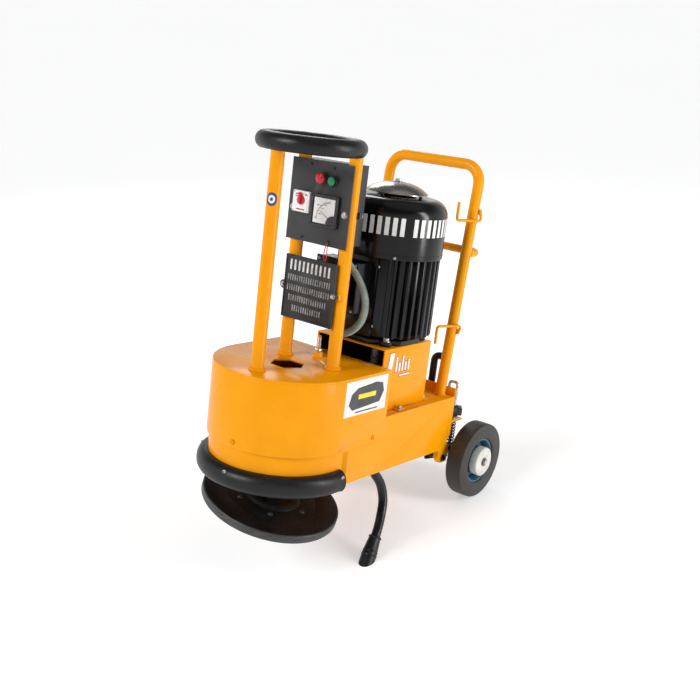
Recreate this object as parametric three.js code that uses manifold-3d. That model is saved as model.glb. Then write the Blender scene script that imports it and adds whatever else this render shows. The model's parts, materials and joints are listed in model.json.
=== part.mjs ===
// Three-phase electric floor grinder on two rear wheels, parked on its folding stand.
// Millimetres. The machine is drawn level, with the deck's top face at z = 0, the spindle axis at
// x = y = 0, the grinding head to the front (-Y) and the machine's left side at +X. The last lines
// tip it back on its wheels and stand, with the floor at z = 0.
import * as THREE from 'three';
import { mergeVertices } from 'three/addons/utils/BufferGeometryUtils.js';
import Module from 'manifold-3d';

const wasm = await Module();
wasm.setup();

// ---------------------------------------------------------------- driving dimensions
const GAP = 0.3;                 // clearance between touching pieces
const SHEET = 5;                 // steel sheet thickness
const PARKED_PITCH = 10.56;      // degrees the machine leans back when parked

const DRUM_R = 215;              // outer radius of the drum and half width of the chassis
const DECK_REAR = 220;           // y of the deck's rear edge
const DECK_THICK = 6;
const SEAM_Z = -216;             // where the drum wall gives way to the skirt
const HULL_BOTTOM = -320;
const SKIRT_R = 207;
const SKIRT_REAR = 50;
const LEDGE_Z = -145;            // top of the rear chassis
const CHASSIS_REAR = 602;
const REAR_PLATE_TOP = -118;
const CHAMFER = 42;              // cut corner at the chassis's lower rear
const HOLE_R = 52;               // hexagonal hole in the deck, across corners
const HOLE_AT = [12, -15];
const STUD_AT = [3, 131];        // threaded stud on the deck
const BUMPER_PROUD = 31;         // how far the bumper stands out from the skirt
const BUMPER_Z = [-334, -270];
const BUMPER_REAR = 26;

const BOX_X = [-78, 182];        // motor box sides
const BOX_REAR = 464;
const BOX_TOP = 51;
const BELT_Z = -80;              // centre height of the belt

const MOTOR = [63, 348];         // motor axis
const FRAME_R = 155;             // outer radius of the motor's fins
const FRAME_Z = [80, 318];
const COWL_R = 160;
const COWL_Z = [315, 486];
const CAP_R = 95;
const CAP_Z = 497;               // underside of the rain cap's brim
const FAN_TOP = 432;
const FINS = 36;
const FIN_ROOT = 139;            // radius of the motor frame between its fins
const PAD_REACH = 140;           // smooth faces between the fins and the terminal box
const PAD_TURN = -66;
const TERMINAL_X = [-42, 108];
const TERMINAL_Z = [150, 298];
const SPINDLE_PULLEY_R = 130;
const MOTOR_PULLEY_R = 62;

const POST_R = 19;
const POST_WALL = 3;
const POST_FRONT = [17, -148];
const POST_REAR_Y = 59;
const POST_REAR_X = [-63, 119];
const RING_AT = [28, -28, 622];
const RING_R = 128;
const RING_SECTION = 26;
const HOOP_SECTION = 15;

const PANEL_X = [-85, 135];
const PANEL_Z = [346, 577];
const PANEL_Y = 34;              // front face of the control panel
const PANEL_THICK = 3;
const PLATE_X = [-68, 118];      // cast nameplate
const PLATE_Z = [120, 303];
const STOP = [30, 530];          // x and z of the push buttons
const START = [69, 527];
const BUTTON_STEM_R = 8;
const ISOLATOR = { x: [-59, 1], z: [428, 487], pivot: [-27, 462] };
const METER = { x: [7, 101], z: [399, 487] };
const LEAD_TOP = [70, 108];      // x and y where the conduit leaves the control box

const HANDLE_X = 172;            // half spacing of the handle's legs
const HANDLE_FOOT_Y = 573.8;
const HANDLE_TOP = 591.8;
const HANDLE_LEAN = 4.57;        // degrees
const HANDLE_TUBE_R = 17.2;
const HANDLE_BEND = 58;
const PUSH_BAR_Z = 316;
const PUSH_BAR_R = 13;
const PUSH_BAR_REACH = 75;       // behind the handle's legs
const HOOK_R = 4.5;
const HOOK_RUN = 96;
const HOOK_TURN = 20;            // degrees each cable hook turns inboard
const GRAB_X = [104, 148];

const AXLE = [694, -363];        // y and z of the wheel axle
const AXLE_R = 10;
const WHEEL_R = 126;
const WHEEL_W = 60;
const WHEEL_X = 263;
const PIVOT = [575, -350];       // y and z of the wheel frame's pivot
const SCREW_AT = [191, 648];     // x and y of the height adjuster's screw

const STAND_PIVOT = [212, -296]; // y and z of the stand's pivot
const STAND_R = 14.5;

const UJOINT_Z = -378;           // centre of the spindle's universal joint
const DISC_R = 208;
const DISC_THICK = 27;
const DISC_TOP = -416;           // along the disc's own axis, with the disc level
const DISC_LEAN = 12.9;          // degrees the lifted disc leans to the machine's left

const FINE = 32;                 // sides of the large round pieces
const MEDIUM = 18;
const SMALL = 12;

// ---------------------------------------------------------------- finishes
const finish = (color, roughness, metalness) => ({ color, roughness, metalness });
const PAINT = finish(0xf39a0b, 0.35, 0.0);
const BLACK_PAINT = finish(0x0d0d0f, 0.3, 0.0);
const PANEL_BLACK = finish(0x2a2b2e, 0.55, 0.1);
const CAST_BLACK = finish(0x2b2c2d, 0.6, 0.4);
const RUBBER = finish(0x1b1b1c, 0.75, 0.0);
const STEEL = finish(0x9a9da1, 0.35, 0.9);
const STAINLESS = finish(0xc4c0bc, 0.2, 1.0);
const CAST_DISC = finish(0x2d2c2a, 0.6, 0.6);
const BLUE = finish(0x1f5f8f, 0.4, 0.0);
const NYLON = finish(0xd9d6cb, 0.45, 0.0);
const CONDUIT = finish(0x9fa8a0, 0.5, 0.1);
const RED = finish(0xc4142c, 0.35, 0.0);
const GREEN = finish(0x14824a, 0.35, 0.0);
const WHITE = finish(0xe9e7e2, 0.4, 0.0);
const STONE = finish(0x6c6a66, 0.95, 0.0);
const GREY_PLASTIC = finish(0x3a3d40, 0.6, 0.0);
const DARK_PLASTIC = finish(0x202225, 0.4, 0.0);

// ---------------------------------------------------------------- tools for solids
function solid(geometry) {
  const bare = geometry.index ? geometry.toNonIndexed() : geometry.clone();
  bare.deleteAttribute('normal');
  bare.deleteAttribute('uv');
  const merged = mergeVertices(bare, 1e-4);
  return new wasm.Manifold(new wasm.Mesh({
    numProp: 3,
    vertProperties: new Float32Array(merged.attributes.position.array),
    triVerts: new Uint32Array(merged.index.array),
  }));
}

function surface(manifold) {
  const mesh = manifold.getMesh();
  const geometry = new THREE.BufferGeometry();
  geometry.setAttribute('position', new THREE.BufferAttribute(new Float32Array(mesh.vertProperties), 3));
  geometry.setIndex(new THREE.BufferAttribute(new Uint32Array(mesh.triVerts), 1));
  geometry.computeVertexNormals();
  return geometry;
}

const join = (first, ...rest) => rest.reduce((sum, piece) => sum.add(piece), first);
const cut = (first, ...rest) => rest.reduce((sum, piece) => sum.subtract(piece), first);

function block([x0, x1], [y0, y1], [z0, z1]) {
  const geometry = new THREE.BoxGeometry(x1 - x0, y1 - y0, z1 - z0);
  geometry.translate((x0 + x1) / 2, (y0 + y1) / 2, (z0 + z1) / 2);
  return solid(geometry);
}

// a round bar along an axis ('x', 'y' or 'z'), from its centre, radius and length
function bar(axis, [x, y, z], radius, length, sides = MEDIUM) {
  const geometry = new THREE.CylinderGeometry(radius, radius, length, sides);
  if (axis === 'x') geometry.rotateZ(Math.PI / 2);
  if (axis === 'z') geometry.rotateX(Math.PI / 2);
  geometry.translate(x, y, z);
  return solid(geometry);
}

const PLAIN = { bevelEnabled: false, curveSegments: 1 };

// a prism: an outline of [x, y] corners raised from z0 to z1
function prism(corners, z0, z1) {
  const shape = new THREE.Shape(corners.map(([x, y]) => new THREE.Vector2(x, y)));
  const geometry = new THREE.ExtrudeGeometry(shape, { ...PLAIN, depth: z1 - z0 });
  geometry.translate(0, 0, z0);
  return solid(geometry);
}

// a plate standing across X: an outline of [y, z] corners, from x0 to x1
function sidePlate(corners, x0, x1) {
  const shape = new THREE.Shape(corners.map(([y, z]) => new THREE.Vector2(y, z)));
  const geometry = new THREE.ExtrudeGeometry(shape, { ...PLAIN, depth: x1 - x0 });
  geometry.applyMatrix4(new THREE.Matrix4().makeBasis(
    new THREE.Vector3(0, 1, 0), new THREE.Vector3(0, 0, 1), new THREE.Vector3(1, 0, 0)));
  geometry.translate(x0, 0, 0);
  return solid(geometry);
}

// a turned piece: [radius, height] corners spun about the Z axis
function turned(corners, sides = FINE) {
  const geometry = new THREE.LatheGeometry(corners.map(([r, h]) => new THREE.Vector2(r, h)), sides);
  geometry.rotateX(Math.PI / 2);
  const piece = solid(geometry);
  return piece.volume() > 0 ? piece : solid(flipped(geometry));
}

function flipped(geometry) {
  const turnedOver = geometry.toNonIndexed();
  const p = turnedOver.attributes.position;
  for (let i = 0; i < p.count; i += 3) {
    const a = new THREE.Vector3().fromBufferAttribute(p, i);
    const b = new THREE.Vector3().fromBufferAttribute(p, i + 1);
    p.setXYZ(i, b.x, b.y, b.z);
    p.setXYZ(i + 1, a.x, a.y, a.z);
  }
  return turnedOver;
}

const closedLoop = (corners) => [...corners, corners[0]];

// a path of straight runs with rounded corners, sampled only where it bends
class BentPath extends THREE.Curve {
  constructor(corners, bendRadius, samples = 6) {
    super();
    const at = corners.map((c) => new THREE.Vector3(...c));
    this.knots = [at[0]];
    for (let i = 1; i < at.length - 1; i += 1) {
      const back = at[i - 1].clone().sub(at[i]).normalize();
      const ahead = at[i + 1].clone().sub(at[i]).normalize();
      const half = back.angleTo(ahead) / 2;
      const inward = back.clone().add(ahead).normalize();
      const centre = at[i].clone().addScaledVector(inward, bendRadius / Math.sin(half));
      const from = at[i].clone().addScaledVector(back, bendRadius / Math.tan(half)).sub(centre);
      const to = at[i].clone().addScaledVector(ahead, bendRadius / Math.tan(half)).sub(centre);
      const spin = new THREE.Vector3().crossVectors(from, to).normalize();
      const sweep = from.angleTo(to);
      for (let s = 0; s <= samples; s += 1) {
        this.knots.push(from.clone().applyAxisAngle(spin, (sweep * s) / samples).add(centre));
      }
    }
    this.knots.push(at[at.length - 1]);
  }

  getPoint(t) {
    const place = t * (this.knots.length - 1);
    const i = Math.min(Math.floor(place), this.knots.length - 2);
    return this.knots[i].clone().lerp(this.knots[i + 1], place - i);
  }

  getTangent(t) {
    const last = this.knots.length - 1;
    const i = Math.round(t * last);
    const run = (from, to) => this.knots[to].clone().sub(this.knots[from]).normalize();
    const ahead = run(Math.min(i, last - 1), Math.min(i + 1, last));
    const behind = run(Math.max(i - 1, 0), Math.max(i, 1));
    return ahead.add(behind).normalize();
  }

  getPointAt(u) { return this.getPoint(u); }

  getTangentAt(u) { return this.getTangent(u); }
}

// a round rod along a path
function rod(path, radius, steps = path.knots.length - 1, sides = 10) {
  const shape = new THREE.Shape();
  for (let i = 0; i < sides; i += 1) {
    const a = (2 * Math.PI * i) / sides;
    if (i === 0) shape.moveTo(radius, 0);
    else shape.lineTo(radius * Math.cos(a), radius * Math.sin(a));
  }
  shape.closePath();
  return solid(new THREE.ExtrudeGeometry(shape, { ...PLAIN, steps, extrudePath: path }));
}

// the hull's plan: straight sides to y = rear and a half round front
function hullPlan(radius, rear, sides = FINE / 2) {
  const corners = [[radius, rear]];
  for (let i = 0; i <= sides; i += 1) {
    const a = (-Math.PI * i) / sides;
    corners.push([radius * Math.cos(a), radius * Math.sin(a)]);
  }
  corners.push([-radius, rear]);
  return corners;
}

function polygon(sides, radius, [cx, cy] = [0, 0], turn = 0) {
  return Array.from({ length: sides }, (_, i) => {
    const a = turn + (2 * Math.PI * i) / sides;
    return [cx + radius * Math.cos(a), cy + radius * Math.sin(a)];
  });
}

function about(matrix, piece) {
  return piece.transform(matrix.toArray());
}

const rotation = (axis, degrees) => {
  const turn = new THREE.Matrix4();
  const angle = THREE.MathUtils.degToRad(degrees);
  if (axis === 'x') turn.makeRotationX(angle);
  if (axis === 'y') turn.makeRotationY(angle);
  if (axis === 'z') turn.makeRotationZ(angle);
  return turn;
};

// ---------------------------------------------------------------- the machine
const machine = new THREE.Group();

function add(name, piece, look) {
  const mesh = new THREE.Mesh(surface(piece), new THREE.MeshStandardMaterial(look));
  mesh.name = name;
  machine.add(mesh);
}

// ---- hull
const deckHole = prism(polygon(6, HOLE_R, HOLE_AT), -DECK_THICK - 1, 1);
const stud = join(bar('z', [...STUD_AT, 6.5], 15, 15, SMALL), bar('z', [...STUD_AT, 31], 6, 64, SMALL));
add('deck_plate', cut(join(prism(hullPlan(DRUM_R, DECK_REAR), -DECK_THICK, 0), stud), deckHole), PAINT);

const wallTop = -DECK_THICK - GAP;
const boxIn = [BOX_X[0] + SHEET, BOX_X[1] - SHEET];
const rearWall = [DECK_REAR - 9, DECK_REAR + 1];
add('drum_shell', cut(
  prism(hullPlan(DRUM_R, DECK_REAR), SEAM_Z, wallTop),
  prism(hullPlan(DRUM_R - SHEET, DECK_REAR - SHEET), SEAM_Z - 1, wallTop + 1),
  block(boxIn, rearWall, [LEDGE_Z, 0]),
  block([-DRUM_R + SHEET, DRUM_R - SHEET], rearWall, [SEAM_Z - 1, LEDGE_Z + 1]),
), PAINT);

const skirtTop = SEAM_Z + 24;
add('skirt_band', cut(
  prism(hullPlan(SKIRT_R, SKIRT_REAR), HULL_BOTTOM, skirtTop),
  prism(hullPlan(SKIRT_R - SHEET, SKIRT_REAR + 1), HULL_BOTTOM - 1, skirtTop + 1),
), PAINT);

const sideOutline = [
  [SKIRT_REAR + GAP, HULL_BOTTOM], [CHASSIS_REAR - CHAMFER * 0.7, HULL_BOTTOM],
  [CHASSIS_REAR - SHEET - GAP, HULL_BOTTOM + CHAMFER], [CHASSIS_REAR - SHEET - GAP, LEDGE_Z],
  [DECK_REAR + GAP, LEDGE_Z], [DECK_REAR + GAP, SEAM_Z - GAP], [SKIRT_REAR + GAP, SEAM_Z - GAP],
];
const rearPlate = block([-DRUM_R, DRUM_R], [CHASSIS_REAR - SHEET - 1, CHASSIS_REAR],
  [HULL_BOTTOM + CHAMFER, REAR_PLATE_TOP]);
const ledge = block([-DRUM_R, DRUM_R], [DECK_REAR + GAP, CHASSIS_REAR - 2], [LEDGE_Z - SHEET, LEDGE_Z]);
const shelf = cut(
  block([SCREW_AT[0] - 22, SCREW_AT[0] + 22], [CHASSIS_REAR - 1, SCREW_AT[1] + 20], [-236, -230]),
  bar('z', [SCREW_AT[0], SCREW_AT[1], -233], 7, 20, SMALL),
);
const standHole = bar('x', [0, ...STAND_PIVOT], 8 + GAP, 500, SMALL);
const frameHole = bar('x', [0, ...PIVOT], 11 + GAP, 500, SMALL);
const bracketOutline = [[545, -300], [596, -300], [604, -335], [598, -366], [562, -366], [545, -346]];
const bracketIn = DRUM_R - 18;
const brackets = [
  sidePlate(bracketOutline, bracketIn, DRUM_R), sidePlate(bracketOutline, -DRUM_R, -bracketIn),
];
add('chassis_shell', cut(
  join(sidePlate(sideOutline, DRUM_R - SHEET, DRUM_R), sidePlate(sideOutline, -DRUM_R, -DRUM_R + SHEET),
    rearPlate, ledge, shelf, ...brackets),
  standHole, frameHole,
), PAINT);

// ---- motor box: an upside-down channel, open at the front and below
const shaftHole = bar('z', [...MOTOR, BOX_TOP], 32, 40);
add('motor_box', cut(
  block(BOX_X, [DECK_REAR + GAP, BOX_REAR], [LEDGE_Z + GAP, BOX_TOP]),
  block(boxIn, [DECK_REAR - 1, BOX_REAR - SHEET], [LEDGE_Z - 1, BOX_TOP - SHEET]),
  shaftHole,
), PAINT);

// ---- bumper: a half oval section bent round the front of the skirt
const bumperIn = SKIRT_R + GAP;
const bumperMiddle = (BUMPER_Z[0] + BUMPER_Z[1]) / 2;
const bumperHalf = (BUMPER_Z[1] - BUMPER_Z[0]) / 2;
const bumperRound = Array.from({ length: 11 }, (_, i) => {
  const a = (Math.PI * (5 - i)) / 10;
  return [bumperIn + BUMPER_PROUD * Math.cos(a), bumperMiddle + bumperHalf * Math.sin(a)];
});
const bumperCut = block([-260, 260], [0, 260], [-400, -200]);
const bumperSide = (x0, x1) => block([x0, x1], [-1, BUMPER_REAR], [BUMPER_Z[0] + 3, BUMPER_Z[1] - 3]);
add('rubber_bumper', join(
  cut(turned(closedLoop(bumperRound)), bumperCut),
  bumperSide(bumperIn, bumperIn + BUMPER_PROUD - 4), bumperSide(-bumperIn - BUMPER_PROUD + 4, -bumperIn),
), RUBBER);

// ---- grinding head
const plateZ = [skirtTop + GAP, skirtTop + GAP + 8];
add('bearing_plate', cut(
  prism(hullPlan(DRUM_R - SHEET - GAP, DECK_REAR - 12), ...plateZ),
  prism(polygon(MEDIUM, 60 + 5 * GAP), plateZ[0] - 1, plateZ[1] + 1),
), PAINT);
add('bearing_housing', turned(closedLoop([
  [21, -330], [45, -330], [60, -300], [60, plateZ[0] - GAP - 12], [84, plateZ[0] - GAP - 12],
  [84, plateZ[0] - GAP], [60, plateZ[0] - GAP], [60, -140], [21, -140],
]), MEDIUM), CAST_BLACK);
add('spindle_shaft', turned([
  [0, -346], [20, -346], [20, -132], [17, -132], [17, -50], [0, -50],
], MEDIUM), STEEL);
const groove = (r, z) => [
  [r, z - 22], [r, z - 14], [r - 10, z - 7], [r, z], [r - 10, z + 7], [r, z + 14], [r, z + 22],
];
add('spindle_pulley', turned(closedLoop([
  [17 + GAP, BELT_Z - 26], [40, BELT_Z - 26], [40, BELT_Z - 16], [108, BELT_Z - 16],
  ...groove(SPINDLE_PULLEY_R, BELT_Z),
  [108, BELT_Z + 22], [108, BELT_Z], [40, BELT_Z], [40, BELT_Z + 26], [17 + GAP, BELT_Z + 26],
]), 24), CAST_BLACK);

// universal joint: spindle yoke, cross and the disc's own yoke
const prong = 12;
const yokeTop = UJOINT_Z + 32 - GAP;
const crossR = 7;
const crossHole = (axis) => bar(axis, [0, 0, UJOINT_Z], crossR + GAP, 120, SMALL);
add('coupling_yoke', cut(
  join(bar('z', [0, 0, yokeTop - 6], 40, 12),
    block([24, 36], [-prong, prong], [UJOINT_Z - 12, yokeTop - 6]),
    block([-36, -24], [-prong, prong], [UJOINT_Z - 12, yokeTop - 6])),
  crossHole('x'),
), STEEL);
add('coupling_cross', join(
  bar('x', [0, 0, UJOINT_Z], crossR, 76, SMALL), bar('y', [0, 0, UJOINT_Z], crossR, 76, SMALL),
), STEEL);

const lean = new THREE.Matrix4().makeTranslation(0, 0, UJOINT_Z)
  .multiply(rotation('y', DISC_LEAN))
  .multiply(new THREE.Matrix4().makeTranslation(0, 0, -UJOINT_Z));
const discBottom = DISC_TOP - DISC_THICK;
const discBody = turned([
  [0, discBottom], [DISC_R, discBottom],
  [DISC_R, DISC_TOP - 3], [DISC_R - 4, DISC_TOP], [84, DISC_TOP], [81, DISC_TOP + 12],
  [67, DISC_TOP + 12], [64, DISC_TOP], [0, DISC_TOP],
]);
const discYoke = cut(
  join(block([-prong, prong], [24, 36], [DISC_TOP - 2, UJOINT_Z + 12]),
    block([-prong, prong], [-36, -24], [DISC_TOP - 2, UJOINT_Z + 12])),
  crossHole('y'),
);
add('grinding_disc', about(lean, join(discBody, discYoke)), CAST_DISC);
for (let i = 0; i < 3; i += 1) {
  const wedge = prism([[70, -38], [150, -66], [160, 0], [150, 66], [70, 38]],
    discBottom - 22, discBottom - GAP);
  add(`abrasive_block_${i + 1}`, about(lean, about(rotation('z', 120 * i + 30), wedge)), STONE);
}

// ---- belt drive
add('motor_shaft', turned([
  [0, -118], [19, -118], [19, 90], [26, 90], [26, 296], [8, 296], [8, 322], [12, 322],
  [12, FAN_TOP + 2], [0, FAN_TOP + 2],
], MEDIUM).translate([...MOTOR, 0]), STEEL);
add('motor_pulley', turned(closedLoop([
  [19 + GAP, BELT_Z - 22], ...groove(MOTOR_PULLEY_R, BELT_Z), [19 + GAP, BELT_Z + 22],
]), MEDIUM).translate([...MOTOR, 0]), CAST_BLACK);

function beltLoop(motorR, spindleR, z0, z1) {
  const span = Math.hypot(...MOTOR);
  const toMotor = Math.atan2(MOTOR[1], MOTOR[0]);
  const open = Math.acos((spindleR - motorR) / span);
  const corners = [];
  const arc = ([cx, cy], radius, from, to) => {
    for (let i = 0; i <= 14; i += 1) {
      const a = from + ((to - from) * i) / 14;
      corners.push([cx + radius * Math.cos(a), cy + radius * Math.sin(a)]);
    }
  };
  arc([0, 0], spindleR, toMotor + open, toMotor + 2 * Math.PI - open);
  arc(MOTOR, motorR, toMotor - open, toMotor + open);
  return prism(corners, z0, z1);
}
const beltHalf = 4;
add('drive_belt', cut(
  beltLoop(MOTOR_PULLEY_R + 8, SPINDLE_PULLEY_R + 8, BELT_Z - beltHalf, BELT_Z + beltHalf),
  beltLoop(MOTOR_PULLEY_R + 3, SPINDLE_PULLEY_R + 3, BELT_Z - beltHalf - 1, BELT_Z + beltHalf + 1),
), RUBBER);

// ---- motor
function finnedOutline() {
  const corners = [];
  const pitch = (2 * Math.PI) / FINS;
  for (let i = 0; i < FINS; i += 1) {
    const a = i * pitch;
    [[-0.34, FIN_ROOT], [-0.16, FRAME_R], [0.16, FRAME_R], [0.34, FIN_ROOT]].forEach(([part, r]) => {
      corners.push([r * Math.cos(a + part * pitch), r * Math.sin(a + part * pitch)]);
    });
  }
  return corners;
}
// the frame's smooth faces stand between the fins and the terminal box, at the front
const pad = about(rotation('z', PAD_TURN), block([100, PAD_REACH], [-30, 30], FRAME_Z));
const frontPad = block([-60, 60], [-PAD_REACH, -100], FRAME_Z);
const flangeZ = [BOX_TOP + GAP, BOX_TOP + 15];
const flange = prism(polygon(8, 126, [0, 0], Math.PI / 8), ...flangeZ);
const endShield = turned([
  [0, flangeZ[1] - 1], [112, flangeZ[1] - 1], [136, FRAME_Z[0] + 1], [0, FRAME_Z[0] + 1],
], MEDIUM);
const frameBody = cut(
  join(prism(finnedOutline(), ...FRAME_Z), endShield, flange),
  about(rotation('z', PAD_TURN), block([132, 170], [-40, 40], [FRAME_Z[0] - 1, FRAME_Z[1] + 1])),
  block([-84, 66], [-170, -132], [FRAME_Z[0] - 1, FRAME_Z[1] + 1]),
);
add('motor_frame', cut(
  join(frameBody, pad, frontPad),
  bar('z', [0, 0, 98], 28, 400),
  bar('z', [0, 0, 300], 8 + GAP, 60),
).translate([...MOTOR, 0]), BLACK_PAINT);

const cowlTop = COWL_Z[1];
const shoulder = 46;
const cowlOutline = [[COWL_R, COWL_Z[0]]];
for (let i = 0; i <= 6; i += 1) {
  const a = (Math.PI / 2) * (i / 6);
  cowlOutline.push([COWL_R - shoulder * (1 - Math.cos(a)), cowlTop - shoulder * (1 - Math.sin(a))]);
}
const cowlInner = cowlOutline.map(([r, z]) => [r - 3, z - (z > COWL_Z[0] ? 3 : 0)]).reverse();
// a narrow lip inside the cowl's mouth rests just over the fins
const lipZ = FRAME_Z[1] + 2 * GAP;
const cowlFoot = cowlInner.pop();
add('motor_cowl', turned(closedLoop([
  ...cowlOutline, [60, cowlTop], [60, cowlTop - 3], ...cowlInner,
  [COWL_R - 3, lipZ + 3], [COWL_R - 13, lipZ + 3], [COWL_R - 13, lipZ], [COWL_R - 3, lipZ], cowlFoot,
])).subtract(prism(finnedOutline().map(([x, y]) => [x * 1.004, y * 1.004]), 300, FRAME_Z[1] + GAP))
  .translate([...MOTOR, 0]), BLACK_PAINT);
const fanHub = turned(closedLoop([
  [12 + GAP, FAN_TOP - 37], [30, FAN_TOP - 37], [30, FAN_TOP], [12 + GAP, FAN_TOP],
]), MEDIUM);
const blade = block([28, 125], [-2, 2], [FAN_TOP - 35, FAN_TOP - 2]);
const blades = Array.from({ length: 6 }, (_, i) => about(rotation('z', 60 * i), blade));
add('motor_fan', join(fanHub, ...blades).translate([...MOTOR, 0]), GREY_PLASTIC);

const capPostZ = [cowlTop + GAP, CAP_Z + 8 - GAP];
const capPost = bar('z', [72, 0, (capPostZ[0] + capPostZ[1]) / 2], 5, capPostZ[1] - capPostZ[0], 8);
const capPosts = [30, 150, 270].map((degrees) => about(rotation('z', degrees), capPost));
add('rain_cap', join(turned([
  [0, CAP_Z + 26], [40, CAP_Z + 18], [72, CAP_Z + 4], [CAP_R, CAP_Z - 1], [CAP_R, CAP_Z + 2],
  [72, CAP_Z + 10], [40, CAP_Z + 24], [14, CAP_Z + 31], [14, CAP_Z + 36], [0, CAP_Z + 36],
], 24), ...capPosts).translate([...MOTOR, 0]), STAINLESS);

const boxFront = MOTOR[1] - PAD_REACH - GAP;
add('terminal_box', cut(
  block(TERMINAL_X, [boxFront - 66, boxFront], TERMINAL_Z),
  block([TERMINAL_X[0] + 4, TERMINAL_X[1] - 4], [boxFront - 60, boxFront + 1],
    [TERMINAL_Z[0] + 4, TERMINAL_Z[1] - 4]),
  bar('z', [8, boxFront - 34, TERMINAL_Z[0]], 9, 20, SMALL),
), BLACK_PAINT);
add('terminal_lid', block([TERMINAL_X[0] - 3, TERMINAL_X[1] + 3], [boxFront - 72, boxFront - 66 - GAP],
  [TERMINAL_Z[0] - 3, TERMINAL_Z[1] + 3]), BLACK_PAINT);

// ---- posts, ring and control panel
function post([x, y]) {
  const top = RING_AT[2] - HOOP_SECTION - GAP;
  const collar = bar('z', [x, y, 4 + GAP], POST_R + 5, 8);
  const tube = bar('z', [x, y, (top + GAP) / 2], POST_R, top - GAP);
  return cut(join(tube, collar), bar('z', [x, y, top / 2 - 4], POST_R - POST_WALL, top));
}
const postPlaces = {
  post_front: POST_FRONT,
  post_rear_right: [POST_REAR_X[0], POST_REAR_Y],
  post_rear_left: [POST_REAR_X[1], POST_REAR_Y],
};
Object.entries(postPlaces).forEach(([name, place]) => add(name, post(place), PAINT));

const circleSection = (r, from, to, steps) => Array.from({ length: steps + 1 }, (_, i) => {
  const a = THREE.MathUtils.degToRad(from + ((to - from) * i) / steps);
  return [RING_R + r * Math.cos(a), r * Math.sin(a)];
});
add('ring_hoop', turned(closedLoop(circleSection(HOOP_SECTION, 0, 315, 7)), 24).translate(RING_AT), STEEL);
const sleeveOuter = circleSection(RING_SECTION, -50, 230, 8);
const sleeveInner = circleSection(HOOP_SECTION + GAP * 4, 230, -50, 7);
const postClear = Object.values(postPlaces).map(([x, y]) => (
  bar('z', [x, y, RING_AT[2] - 20], POST_R + 5 * GAP, 60, SMALL)));
add('ring_rubber', cut(
  turned(closedLoop([...sleeveOuter, ...sleeveInner]), 24).translate(RING_AT), ...postClear,
), RUBBER);

const panelBack = PANEL_Y + PANEL_THICK;
const panelHole = (x, z, r) => bar('y', [x, PANEL_Y, z], r, 20, SMALL);
add('panel_plate', cut(
  block(PANEL_X, [PANEL_Y, panelBack], PANEL_Z),
  panelHole(...STOP, 11 + GAP), panelHole(...START, 11 + GAP),
), PANEL_BLACK);
const neckX = [POST_REAR_X[0] + POST_R + 2, POST_REAR_X[1] - POST_R - 2];
const rearY = [POST_REAR_Y + POST_R + 2, 132];
add('control_box', cut(
  join(block(neckX, [panelBack + GAP, rearY[0] + 1], [PANEL_Z[0] + 4, PANEL_Z[1] - 1]),
    block([-80, 110], rearY, [PANEL_Z[0] + 4, PANEL_Z[1] - 1])),
  block([neckX[0] + 3, neckX[1] - 3], [panelBack - 1, rearY[1] - 3], [PANEL_Z[0] + 7, PANEL_Z[1] - 4]),
  bar('z', [...LEAD_TOP, PANEL_Z[0]], 9, 30, SMALL),
), PANEL_BLACK);

function bezel([x, z]) {
  const flange = bar('y', [x, PANEL_Y - 2.5 - GAP, z], 15, 5);
  const sleeve = bar('y', [x, PANEL_Y + 4.5, z], 11, 19, SMALL);
  return cut(join(flange, sleeve), bar('y', [x, PANEL_Y, z], BUTTON_STEM_R + GAP, 60, SMALL));
}
function button([x, z], reach, headR) {
  const head = bar('y', [x, PANEL_Y - 9.5 - reach / 2, z], headR, reach);
  return join(head, bar('y', [x, PANEL_Y + 3, z], BUTTON_STEM_R, 30, SMALL));
}
add('stop_bezel', bezel(STOP), GREY_PLASTIC);
add('start_bezel', bezel(START), GREY_PLASTIC);
add('stop_button', button(STOP, 12, 15.5), RED);
add('start_button', button(START, 6, 12.5), GREEN);
const [switchX, switchZ] = ISOLATOR.pivot;
add('isolator_base', cut(
  block(ISOLATOR.x, [PANEL_Y - 16, PANEL_Y - GAP], ISOLATOR.z),
  bar('y', [switchX, PANEL_Y - 14, switchZ], 5 + GAP, 12, SMALL),
), WHITE);
add('isolator_lever', join(
  bar('y', [switchX, PANEL_Y - 13, switchZ], 5, 9, SMALL),
  bar('y', [switchX, PANEL_Y - 19, switchZ], 13, 5),
  block([switchX - 4, switchX + 4], [PANEL_Y - 29, PANEL_Y - 20], [switchZ - 10, switchZ + 22]),
), RED);
add('ammeter_case', block(METER.x, [PANEL_Y - 12, PANEL_Y - GAP], METER.z), DARK_PLASTIC);

const ear = (x, z) => bar('y', [x, PANEL_Y - 4, z], 13, 8, SMALL);
add('nameplate', join(
  block(PLATE_X, [PANEL_Y - 8, PANEL_Y], PLATE_Z),
  ear(PLATE_X[0] - 2, 213), ear(PLATE_X[1] - 2, 213),
), CAST_BLACK);

// ---- conduit between the control box and the motor's terminal box
const conduitRoute = new THREE.CatmullRomCurve3([
  [...LEAD_TOP, 349.4], [...LEAD_TOP, 336], [88, 111, 304], [126, 118, 264], [148, 129, 218],
  [151, 136, 180], [141, 140, 140], [113, 145, 106], [72, 152, 84], [33, 162, 86], [10, 171, 110],
  [8, boxFront - 34, 132], [8, boxFront - 34, 149.2],
].map((p) => new THREE.Vector3(...p)), false, 'centripetal');
add('motor_conduit', rod(conduitRoute, 11, 24, 8), CONDUIT);

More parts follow.
